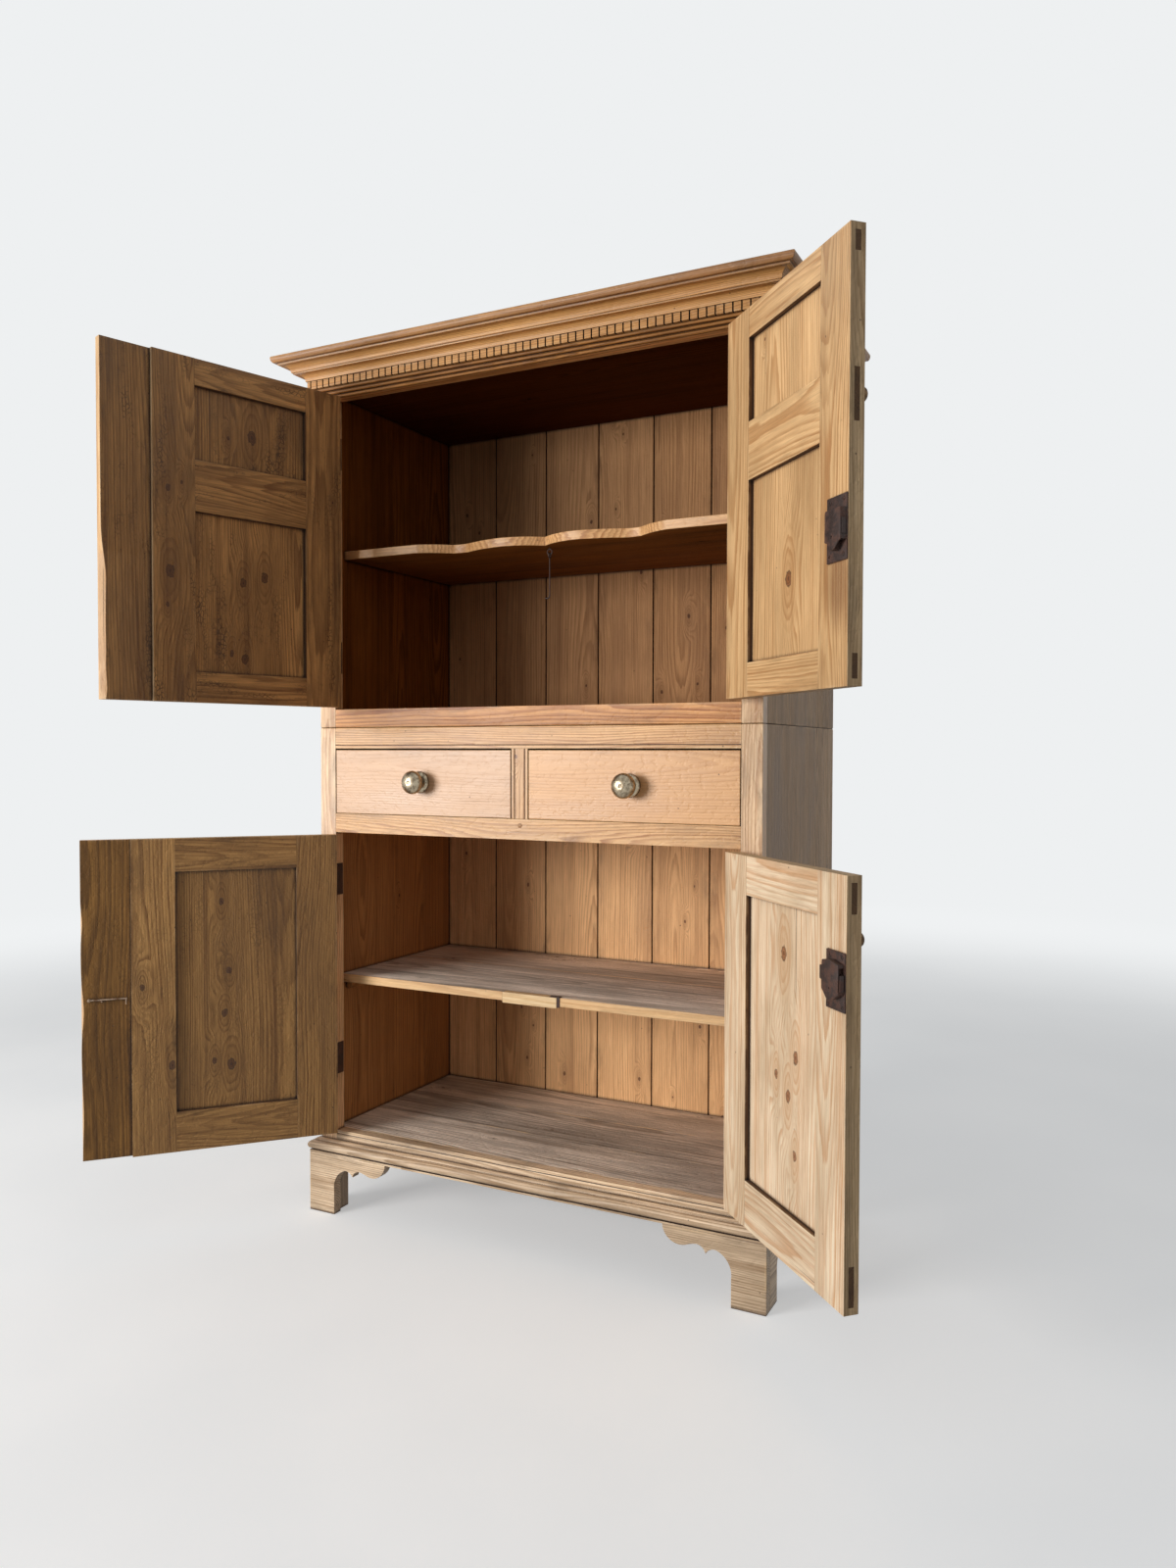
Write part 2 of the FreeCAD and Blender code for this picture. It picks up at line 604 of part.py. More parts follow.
def hinge_half(name, hand, middle, moving):
    """One leaf with its knuckles; the fixed leaf carries the pin."""
    third = "hinge_height / 3"
    low = f"{middle} - hinge_height / 2"
    spans = [(f"{low} + {third} + knuckle_gap", f"{third} - 2 * knuckle_gap")]
    if not moving:
        spans = [(low, third), (f"{low} + 2 * {third}", third)]
    side = hand if moving else -hand
    faces = (f"{EDGE} - leaf_thick", EDGE)
    leaf = door_board(f"{name}_leaf", side, (faces[0], "pin_reach", low),
                      (faces[1], "pin_reach + leaf_depth", f"{low} + hinge_height"))
    pieces = [leaf]
    for turn, (start, length) in enumerate(spans):
        pieces.append(rod(f"{name}_knuckle_{turn}", "knuckle_radius", length, ("0", "0", start)))
        pieces.append(door_board(f"{name}_tab_{turn}", side, (faces[0], "tab_inset", start),
                                 (faces[1], "pin_reach", f"{start} + {length}")))
    if moving:
        bore = rod(f"{name}_bore", "pin_radius + pin_play", "hinge_height", ("0", "0", low))
        return cut(f"{name}_moving", fuse(f"{name}_solid", pieces), [bore])
    pieces.append(rod(f"{name}_pin", "pin_radius", "hinge_height", ("0", "0", low)))
    return fuse(f"{name}_fixed", pieces)


def door_hinges():
    for side, hand in (("left", 1), ("right", -1)):
        fixed = []
        for level in ("upper", "lower"):
            door = f"{level}_{side}"
            ends = [f"{level}_hinge_bottom", f"{level}_hinge_top"]
            leaves = [hinge_half(f"{door}_hinge_{turn}_moving", hand, end, True) for turn, end in enumerate(ends)]
            door_node(door, f"{door}_hinges", leaves)
            fixed += [hinge_half(f"{door}_hinge_{turn}_fixed", hand, end, False) for turn, end in enumerate(ends)]
        node(f"{side}_hinge_leaves", fixed, (f"case_shift - {hand} * {PIVOT}", "-pin_reach", "0"))


def rim_lock(level):
    """A lock case on the inner face at the free edge, its bolt drawn in."""
    door = f"{level}_right"
    low, tall = f"{level}_lock_low", f"{level}_lock_height"
    end = f"{EDGE} + {FRAME}"
    face = "pin_reach + frame_thick"
    start = f"{end} - lock_width"
    middle = f"({low} + {tall} / 2)"
    plate = door_board(f"{door}_lock_plate", -1, (start, face, low),
                       (end, f"{face} + lock_plate", f"{low} + {tall}"))
    rim = "lock_plate * 2"
    box = door_board(f"{door}_lock_box", -1, (f"{start} + {rim}", f"{face} + lock_plate", f"{low} + {rim}"),
                     (end, f"{face} + lock_depth", f"{low} + {tall} - {rim}"))

    def bolt_space(name, play, length):
        seat = f"{face} + lock_depth / 2"
        return door_board(name, -1, (f"{end} - {length} - {play}", f"{seat} - bolt_thick / 2 - {play}",
                                     f"{middle} - bolt_width / 2 - {play}"),
                          (end, f"{seat} + bolt_thick / 2 + {play}", f"{middle} + bolt_width / 2 + {play}"))

    case = cut(f"{door}_lock_case", fuse(f"{door}_lock_solid", [plate, box]),
               [bolt_space(f"{door}_bolt_way", "bolt_play", "bolt_length")])
    door_node(door, f"{door}_lock", [case])
    door_node(door, f"{level}_lock_bolt", [bolt_space(f"{door}_bolt", "0", "bolt_length")])


def knob_body(name, radius, reach):
    """A bun-shaped knob on a wide rose, turned about its own axis."""
    rose, neck = radius * 0.93, radius * 0.4
    return turned_body(name, (0, 0), [
        (rose, 0), (rose, reach * 0.07),
        ((rose * 0.92, reach * 0.13), (rose * 0.66, reach * 0.17)),
        (neck, reach * 0.21), (neck, reach * 0.37),
        ((radius * 0.86, reach * 0.45), (radius, reach * 0.64)),
        ((radius * 0.8, reach * 0.86), (neck, reach * 0.975)),
        (neck / 2, reach), (0, reach),
    ])


def knob(name, radius, reach, at):
    """A turned knob with its axis towards the front."""
    body = knob_body(name, radius, reach)
    body.Placement.Rotation = FreeCAD.Rotation(FreeCAD.Vector(1, 0, 0), 180)
    place(body, *at)
    return body


def door_knobs():
    for level in ("upper", "lower"):
        door = f"{level}_right"
        across = f"-({EDGE} + {FRAME} - door_knob_inset)"
        turned = knob(f"{door}_knob_turning", size.door_knob_radius, size.door_knob_radius * 2,
                      (across, "pin_reach", f"{level}_knob_level"))
        door_node(door, f"{door}_knob", [turned])


# Drawers.

def drawers():
    for side, sign in (("left", -1), ("right", 1)):
        near = "muntin_width / 2 + drawer_clear"
        far = f"{OPENING} - drawer_clear"
        low, high = "drawer_rail_high + drawer_lift", "top_rail_low - drawer_clear * 2"

        def piece(name, start, end, front, back, bottom, top):
            span = (start, end) if sign > 0 else (f"-({end})", f"-({start})")
            return board(f"{side}_drawer_{name}", (span[0], front, bottom), (span[1], back, top))

        behind = "drawer_front"
        rear = "drawer_depth"
        node(f"{side}_drawer_front", [piece("face", near, far, "0", behind, low, high)])
        base_low = f"{low} + drawer_bottom_rise"
        base_high = f"{base_low} + drawer_bottom"
        low_back = f"{high} - drawer_back_drop"
        within = (f"{near} + drawer_side", f"{far} - drawer_side")
        node(f"{side}_drawer_box", [
            piece("near_side", near, within[0], behind, rear, low, high),
            piece("far_side", within[1], far, behind, rear, low, high),
            piece("back", *within, "drawer_depth - drawer_side", rear, base_high, low_back),
            piece("bottom", *within, behind, rear, base_low, base_high),
        ])
        centre = f"{sign} * ({near} + {far}) / 2"
        turned = knob(f"{side}_drawer_knob_turning", size.knob_radius, size.knob_reach,
                      (centre, "0", "(drawer_rail_high + top_rail_low) / 2"))
        node(f"{side}_drawer_knob", [turned])


# Wire hook under the upper shelf, the strap at the lower shelf and the bar hook on the lower left door.

EYE_Y = "upper_shelf_front + 1.15 * shelf_wave + eye_inset"
EYE_Z = "upper_shelf_top - shelf_thick - 3 * wire_radius - eye_radius"
SHANK = "0.85 * wire_radius"


def screw_eye():
    loop = ring("screw_eye_loop", "eye_radius", "wire_radius", ("0", EYE_Y, EYE_Z), FRONTWARDS)
    shank = rod("screw_eye_shank", SHANK, "3 * wire_radius", ("0", EYE_Y, f"{EYE_Z} + eye_radius"))
    return fuse("screw_eye", [loop, shank])


def shelf_hook():
    """A long wire hook that hangs in the screw eye and swings forward to catch the door."""
    centre = f"({EYE_Z} - eye_radius - ring_radius + 2 * wire_radius + 0.4)"
    loop = ring("shelf_hook_loop", "ring_radius", "wire_radius", ("0", EYE_Y, centre), RIGHTWARDS)
    low = f"({centre} - ring_radius - hook_length)"
    lap = "wire_radius / 2"
    shank = rod("shelf_hook_shank", SHANK, f"hook_length + {lap}", ("0", EYE_Y, f"{low} - {lap}"))
    bend = ring("shelf_hook_bend", "hook_bend", "wire_radius", ("-hook_bend", EYE_Y, low),
                FreeCAD.Rotation(FreeCAD.Vector(1, 0, 0), -90), 130)
    node("shelf_hook", [fuse("shelf_hook_wire", [loop, shank, bend])])


def shelf_strap():
    """An iron strap bent over the front edge of the lower shelf, beside the let-in strip."""
    end, front = "patch_length / 2", "lower_shelf_front - strap_thick"
    top = board("shelf_strap_top", (f"{end} + strap_width - strap_length", front, "lower_shelf_top"),
                (f"{end} + strap_width", "lower_shelf_front + strap_depth", "lower_shelf_top + strap_thick"))
    lip = board("shelf_strap_lip", (end, front, "lower_shelf_top - shelf_thick - strap_thick"),
                (f"{end} + strap_width", "lower_shelf_front", "lower_shelf_top"))
    return fuse("shelf_strap", [top, lip])


def shelf_irons():
    node("shelf_irons", [screw_eye(), shelf_strap()])


def bar_hook():
    """A bar hook that lies level across the closing board, turning on a pin near the free edge."""
    door = "lower_left"
    pivot = f"({EDGE} + {FRAME} + closing_width - bar_inset)"
    face = "pin_reach + closing_thick"
    stand = "bar_stand + 3 * bar_radius"
    pin = rod("bar_hook_pin", "wire_radius", stand, (pivot, f"{face} + {stand}", "bar_level"), FRONTWARDS)
    under = "bar_level - bar_radius - wire_radius - 0.3"
    rest = rod("bar_hook_rest", "wire_radius", stand,
               (f"{pivot} - bar_length / 3", f"{face} + {stand}", under), FRONTWARDS)
    door_node(door, "lower_left_hook_pins", [pin, rest])
    depth = f"{face} + bar_stand + bar_radius"
    tip_end = f"{pivot} - bar_length"
    bar = rod("bar_hook_bar", "bar_radius", "bar_length", (tip_end, depth, "bar_level"), RIGHTWARDS)
    boss = rod("bar_hook_boss", "2 * bar_radius", "1.6 * bar_radius",
               (pivot, f"{depth} + 0.8 * bar_radius", "bar_level"), FRONTWARDS)
    tip = rod("bar_hook_tip", "0.8 * bar_radius", "bar_tip",
              (f"{tip_end} + bar_radius", depth, "bar_level - bar_tip"))
    bore = rod("bar_hook_bore", "wire_radius + pin_play", "6 * bar_radius",
               (pivot, f"{depth} + 3 * bar_radius", "bar_level"), FRONTWARDS)
    door_node(door, "door_hook", [cut("bar_hook", fuse("bar_hook_solid", [bar, boss, tip]), [bore])])


def build():
    case_sides("lower_sides", "foot_height", "waist_level")
    case_sides("upper_sides", "waist_level", "upper_case_top", housed=True)
    case_stiles("lower_stiles", "foot_height", "waist_level")
    case_stiles("upper_stiles", "waist_level", "upper_case_top")
    node("lower_rails", [
        beaded_rail("base_rail", "foot_height", "floor_level", "floor_level - bead_width - quirk"),
        rail("drawer_rail", "drawer_rail_low", "drawer_rail_high"),
        beaded_rail("lower_top_rail", "top_rail_low", "waist_level", "top_rail_low + bead_width"),
    ])
    node("upper_rails", [
        rail("upper_floor_rail", "waist_level", "upper_floor_level"),
        rail("upper_top_rail", "frieze_low", "upper_case_top"),
    ])
    back_boards("lower_back_boards", "foot_height", "waist_level")
    back_boards("upper_back_boards", "waist_level", "upper_case_top")
    floor_boards()
    inner_board("lower_top_board", "waist_level - ceiling_thick", "waist_level")
    inner_board("upper_floor_board", "upper_floor_level - floor_thick", "upper_floor_level")
    inner_board("upper_top_board", "ceiling_low", "ceiling_low + ceiling_thick")
    upper_shelf()
    lower_shelf()
    shelf_cleats()
    drawer_deck()
    drawer_muntin()
    cornice()
    dentil_band()
    reeded_frieze()
    base_moulding()
    bracket_feet()
    for door in HANDS:
        door_frame(door)
    closing_board("upper_left")
    closing_board("lower_left")
    door_hinges()
    rim_lock("upper")
    rim_lock("lower")
    door_knobs()
    drawers()
    shelf_irons()
    shelf_hook()
    bar_hook()
    doc.recompute()


def export():
    broken = [thing.Label for thing in doc.Objects if {"Invalid", "Error"} & set(thing.State)]
    if broken:
        raise RuntimeError("failed: " + ", ".join(broken))
    os.makedirs("parts", exist_ok=True)
    for part in nodes:
        if part.Shape.isNull() or not part.Shape.isValid() or not part.Shape.Solids:
            raise RuntimeError("no sound solid in " + part.Label)
        part.Shape.exportStep(f"parts/{part.Label}.step")
    print(len(nodes), "sub-parts")


build()
export()
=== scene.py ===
import json
import math
import random

import bmesh
import bpy
from mathutils import Matrix, Vector


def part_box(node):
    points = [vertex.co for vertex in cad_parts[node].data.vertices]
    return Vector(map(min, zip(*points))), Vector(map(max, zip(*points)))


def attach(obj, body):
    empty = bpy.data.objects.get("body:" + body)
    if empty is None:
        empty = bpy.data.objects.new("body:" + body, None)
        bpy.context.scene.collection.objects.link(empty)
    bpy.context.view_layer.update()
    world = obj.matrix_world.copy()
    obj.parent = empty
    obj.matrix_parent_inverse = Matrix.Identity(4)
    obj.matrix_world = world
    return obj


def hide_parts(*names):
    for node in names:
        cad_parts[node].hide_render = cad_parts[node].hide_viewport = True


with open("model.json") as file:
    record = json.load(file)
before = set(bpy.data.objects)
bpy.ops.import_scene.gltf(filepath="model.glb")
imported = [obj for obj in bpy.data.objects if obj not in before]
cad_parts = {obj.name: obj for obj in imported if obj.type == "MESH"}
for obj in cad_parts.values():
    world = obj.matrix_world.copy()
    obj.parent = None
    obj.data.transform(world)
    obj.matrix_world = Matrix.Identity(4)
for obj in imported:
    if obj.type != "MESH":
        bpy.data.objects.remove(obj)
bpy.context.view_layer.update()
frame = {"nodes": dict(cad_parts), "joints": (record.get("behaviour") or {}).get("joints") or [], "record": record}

BODY_OF = {node: body for body, names in frame["record"]["behaviour"]["bodies"].items() for node in names}
CASE_MIDDLE = (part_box("lower_rails")[0].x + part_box("lower_rails")[1].x) / 2

# Lengths are in metres. A knot or a stain is how far it lies along and across its board, then its radius.
MICRONS = 1e6
SAME_POINT = 2e-6
SLIVER = 3e-6
KNOTS = 5
KNOT_RADIUS = (0.002, 0.0055)
KNOT_ALONG, KNOT_ACROSS = 0.9, 0.8
NO_KNOT = (9.0, 9.0, 0.0001)
NO_STAIN = (9.0, 9.0, 0.001)


# Doors are worked on shut, square to the case, and swung back to where they stand.

def shutting(body):
    """The turn that shuts a door; other bodies stay as they are."""
    for joint in frame["joints"]:
        if joint["child"] == body and joint["type"] == "hinge" and body.endswith("_door"):
            hinge = Matrix.Translation(joint["pos_m"])
            turn = Matrix.Rotation(math.radians(joint["range_deg"][0]), 4, Vector(joint["axis"]))
            return hinge @ turn @ hinge.inverted()
    return Matrix.Identity(4)


def corners_of(points):
    """The lowest and the highest corner of the box round some points."""
    return (Vector(min(point[axis] for point in points) for axis in range(3)),
            Vector(max(point[axis] for point in points) for axis in range(3)))


def shut_box(node, body):
    """A node's lowest and highest corner with its door shut."""
    turn = shutting(body)
    return corners_of([turn @ vertex.co for vertex in frame["nodes"][node].data.vertices])


# Boards: a copy of the node's own mesh, its arrises eased, with marks for the grain.

def merged_copy(node):
    """The node's mesh with each solid's corners joined and its flat faces made whole."""
    bm = bmesh.new()
    bm.from_mesh(frame["nodes"][node].data)
    # The solids follow one another, and one is whole when each of its edges has been met from both sides.
    solids, solid, waiting = [], [], set()
    for face in bm.faces:
        corners = [tuple(round(part * MICRONS) for part in vertex.co) for vertex in face.verts]
        for edge in zip(corners, corners[1:] + corners[:1]):
            if edge[::-1] in waiting:
                waiting.discard(edge[::-1])
            else:
                waiting.add(edge)
        solid.append(face)
        if not waiting:
            solids.append(solid)
            solid = []
    for faces in solids:
        corners = list({vertex: None for face in faces for vertex in face.verts})
        bmesh.ops.remove_doubles(bm, verts=corners, dist=SAME_POINT)
    bmesh.ops.dissolve_limit(bm, angle_limit=math.radians(0.3), verts=bm.verts, edges=bm.edges)
    return bm


def ease(bm, width, angle=28):
    """Rounds the arrises that are sharper than an angle."""
    sharp = [edge for edge in bm.edges if len(edge.link_faces) == 2 and
             edge.calc_face_angle() > math.radians(angle)]
    bmesh.ops.bevel(bm, geom=sharp, offset=width, offset_type="OFFSET", segments=2, profile=0.5,
                    affect="EDGES", clamp_overlap=True, material=-1)
    bmesh.ops.dissolve_degenerate(bm, dist=SLIVER, edges=bm.edges)


def boards_in(bm, turn):
    """The separate boards with their lowest and highest corners, from low to high and from left to right."""
    found = []
    for vertex in bm.verts:
        vertex.tag = False
    for first in bm.verts:
        if first.tag:
            continue
        first.tag = True
        reach, board = [first], []
        while reach:
            vertex = reach.pop()
            board.append(vertex)
            for edge in vertex.link_edges:
                other = edge.other_vert(vertex)
                if not other.tag:
                    other.tag = True
                    reach.append(other)
        found.append((board, *corners_of([turn @ vertex.co for vertex in board])))
    return sorted(found, key=lambda item: (round(item[1].z, 3), round(item[1].x, 3), round(item[1].y, 3)))


def mark_grain(bm, name, body, knots=None, plenty=1.0, stains=None, upright=False):
    """Writes where each point lies along, across and through its board, and where the board's knots are."""
    names = ["local", "half", "seed", "stain"] + [f"knot_{count}" for count in range(KNOTS)]
    for layer in names:
        bm.verts.layers.float_vector.new(layer)
    marks = {layer: bm.verts.layers.float_vector.get(layer) for layer in names}
    turn = shutting(body)
    for count, (board, low, high) in enumerate(boards_in(bm, turn)):
        chance = random.Random(f"{name} {count}")
        middle, half = (low + high) / 2, (high - low) / 2
        order = [2, 0, 1] if upright else sorted(range(3), key=lambda axis: -half[axis])
        reach = Vector(half[axis] for axis in order)
        seed = Vector((chance.random(), chance.random(), chance.random()))
        placed = list((knots or {}).get(count, []))
        if not placed:
            # A short or a narrow board has fewer.
            likely = plenty * min(1.0, reach.x * 0.9) * min(1.0, reach.y * 16)
            for _ in range(KNOTS):
                if chance.random() < likely:
                    placed.append((chance.uniform(-KNOT_ALONG, KNOT_ALONG) * reach.x,
                                   chance.uniform(-KNOT_ACROSS, KNOT_ACROSS) * reach.y,
                                   chance.uniform(*KNOT_RADIUS)))
        placed = (placed + [NO_KNOT] * KNOTS)[:KNOTS]
        stain = Vector((stains or {}).get(count, NO_STAIN))
        for vertex in board:
            point = turn @ vertex.co - middle
            vertex[marks["local"]] = Vector(point[axis] for axis in order)
            vertex[marks["half"]] = reach
            vertex[marks["seed"]] = seed
            vertex[marks["stain"]] = stain
            for knot, at in enumerate(placed):
                vertex[marks[f"knot_{knot}"]] = Vector(at)


def set_piece(name, bm, finishes, body, nodes, rule=None, smooth=24):
    """Makes the piece, gives each face its finish and hangs it on its body in the nodes' place."""
    if rule:
        shut = shutting(body)
        turn = shut.to_3x3()
        for face in bm.faces:
            face.material_index = rule(turn @ face.normal, shut @ face.calc_center_median())
    mesh = bpy.data.meshes.new(name)
    bm.to_mesh(mesh)
    bm.free()
    for finish in finishes:
        mesh.materials.append(finish)
    mesh.polygons.foreach_set("use_smooth", [True] * len(mesh.polygons))
    mesh.set_sharp_from_angle(angle=math.radians(smooth))
    piece = bpy.data.objects.new(name, mesh)
    bpy.context.scene.collection.objects.link(piece)
    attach(piece, body)
    if nodes:
        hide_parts(*nodes)


# Shapes to cut and to join.

PIN_SIDES = 24


def slab(low, high):
    """A block between two corners."""
    bm = bmesh.new()
    bmesh.ops.create_cube(bm, size=1.0)
    bmesh.ops.scale(bm, vec=Vector(high) - Vector(low), verts=bm.verts)
    bmesh.ops.translate(bm, vec=(Vector(low) + Vector(high)) / 2, verts=bm.verts)
    return bm


def sawn_shape(corners, front, depth):
    """A flat shape drawn in x and z, given its thickness along y."""
    bm = bmesh.new()
    face = bm.faces.new([bm.verts.new((x, front, z)) for x, z in corners])
    grown = bmesh.ops.extrude_face_region(bm, geom=[face])
    moved = [part for part in grown["geom"] if isinstance(part, bmesh.types.BMVert)]
    bmesh.ops.translate(bm, vec=(0.0, depth, 0.0), verts=moved)
    bmesh.ops.recalc_face_normals(bm, faces=bm.faces)
    return bm


def pin(x, z, front, radius, depth):
    """A round bar or hole along y."""
    bm = bmesh.new()
    bmesh.ops.create_cone(bm, cap_ends=True, segments=PIN_SIDES, radius1=radius, radius2=radius, depth=depth)
    bmesh.ops.rotate(bm, matrix=Matrix.Rotation(math.radians(90), 3, "X"), verts=bm.verts)
    bmesh.ops.translate(bm, vec=(x, front + depth / 2, z), verts=bm.verts)
    return bm


def workpiece(bm, name):
    """An object that holds a shape while it is cut."""
    mesh = bpy.data.meshes.new(name)
    bm.to_mesh(mesh)
    bm.free()
    holder = bpy.data.objects.new(name, mesh)
    bpy.context.scene.collection.objects.link(holder)
    return holder


def cut_out(bm, *tools):
    """Takes the tools' shapes away from a solid."""
    blank = workpiece(bm, "blank")
    cutters = [workpiece(tool, "cutter") for tool in tools]
    for cutter in cutters:
        change = blank.modifiers.new("cut", "BOOLEAN")
        change.operation, change.solver, change.object = "DIFFERENCE", "EXACT", cutter
    bpy.context.view_layer.update()
    done = bpy.data.meshes.new_from_object(blank.evaluated_get(bpy.context.evaluated_depsgraph_get()))
    bm = bmesh.new()
    bm.from_mesh(done)
    for holder in [blank] + cutters:
        bpy.data.meshes.remove(holder.data)
    bpy.data.meshes.remove(done)
    return bm


def joined(*shapes):
    """Several shapes in one."""
    whole = shapes[0]
    for shape in shapes[1:]:
        mesh = bpy.data.meshes.new("shape")
        shape.to_mesh(mesh)
        shape.free()
        whole.from_mesh(mesh)
        bpy.data.meshes.remove(mesh)
    return whole


# Finishes.

def tint(code):
    """A colour as a painter writes it, made linear."""
    parts = [int(code[start:start + 2], 16) / 255 for start in (0, 2, 4)]
    return [part / 12.92 if part <= 0.04045 else ((part + 0.055) / 1.055) ** 2.4 for part in parts] + [1.0]


class Finish:
    """A material, or the studio's own light, laid out node by node."""

    def __init__(self, owner):
        owner.use_nodes = True
        self.owner = owner
        self.tree = owner.node_tree
        self.tree.nodes.clear()

    def add(self, kind, feeds, **settings):
        """A node whose sockets are fed by other nodes or set to plain values."""
        made = self.tree.nodes.new("ShaderNode" + kind)
        for setting, value in settings.items():
            setattr(made, setting, value)
        for socket, value in feeds.items():
            if isinstance(value, bpy.types.NodeSocket):
                self.tree.links.new(value, made.inputs[socket])
            else:
                made.inputs[socket].default_value = value
        return made

    def mark(self, name):
        """One of the marks that a board carries for its grain."""
        return self.add("Attribute", {}, attribute_name=name, attribute_type="GEOMETRY").outputs["Vector"]

    def sum(self, how, *values):
        return self.add("Math", dict(enumerate(values)), operation=how).outputs[0]

    def vector(self, how, *values):
        made = self.add("VectorMath", dict(enumerate(values)), operation=how)
        return made.outputs["Value"] if how == "LENGTH" else made.outputs["Vector"]

    def parts(self, vector):
        return self.add("SeparateXYZ", {0: vector}).outputs

    def point(self, x, y, z):
        return self.add("CombineXYZ", {0: x, 1: y, 2: z}).outputs[0]

    def noise(self, vector, detail=2.0, rough=0.5):
        return self.add("TexNoise", {"Vector": vector, "Scale": 1.0, "Detail": detail, "Roughness": rough}).outputs[0]

    def pattern(self, place, often, detail=2.0, rough=0.5):
        """Noise that comes so often in a metre each way."""
        return self.noise(self.vector("MULTIPLY", place, often), detail, rough)

    def fade(self, value, start, end, low=0.0, high=1.0):
        """Goes smoothly from low at start to high at end."""
        return self.add("MapRange", {0: value, 1: start, 2: end, 3: low, 4: high},
                        interpolation_type="SMOOTHSTEP").outputs[0]

    def mix(self, share, under, over, blend="MIX"):
        return self.add("Mix", {0: share, 6: under, 7: over}, data_type="RGBA", blend_type=blend).outputs[2]

    def bump(self, height, depth, strength):
        return self.add("Bump", {"Height": height, "Distance": depth, "Strength": strength}).outputs[0]

    def seen(self):
        """1 for what the camera, a reflection or a clear piece sees, 0 for the light that falls on the object."""
        path = self.add("LightPath", {}).outputs
        mirrored = self.sum("MAXIMUM", path["Is Camera Ray"], path["Is Glossy Ray"])
        return self.sum("MAXIMUM", mirrored, path["Is Transmission Ray"])

    def shader(self, feeds):
        made = self.add("BsdfPrincipled", feeds)
        self.add("OutputMaterial", {0: made.outputs[0]})
        return self.owner


# How often each pattern of old pine comes in a metre: along the grain, across it and through the board.
SWAY = (1.6, 7.0, 7.0)
RAGGED = (110.0, 150.0, 150.0)
SHIVER = (6.0, 90.0, 90.0)
FIBRE = (14.0, 420.0, 420.0)
PATCH = (2.6, 9.0, 9.0)
STREAK = (1.3, 46.0, 46.0)
RUB = (8.0, 26.0, 26.0)
WORM = (34.0, 44.0, 44.0)
SPLIT = (1.4, 170.0, 170.0)
CRACKS = (90.0, 150.0, 150.0)
CRACKED = (5.0, 19.0, 19.0)
DENTS = (70.0, 90.0, 90.0)

RUBBED, RUST_STAIN = "efcd9e", "70401c"
KNOT_SHADE, BLACK_SHADE = "c8a482", "5c4634"


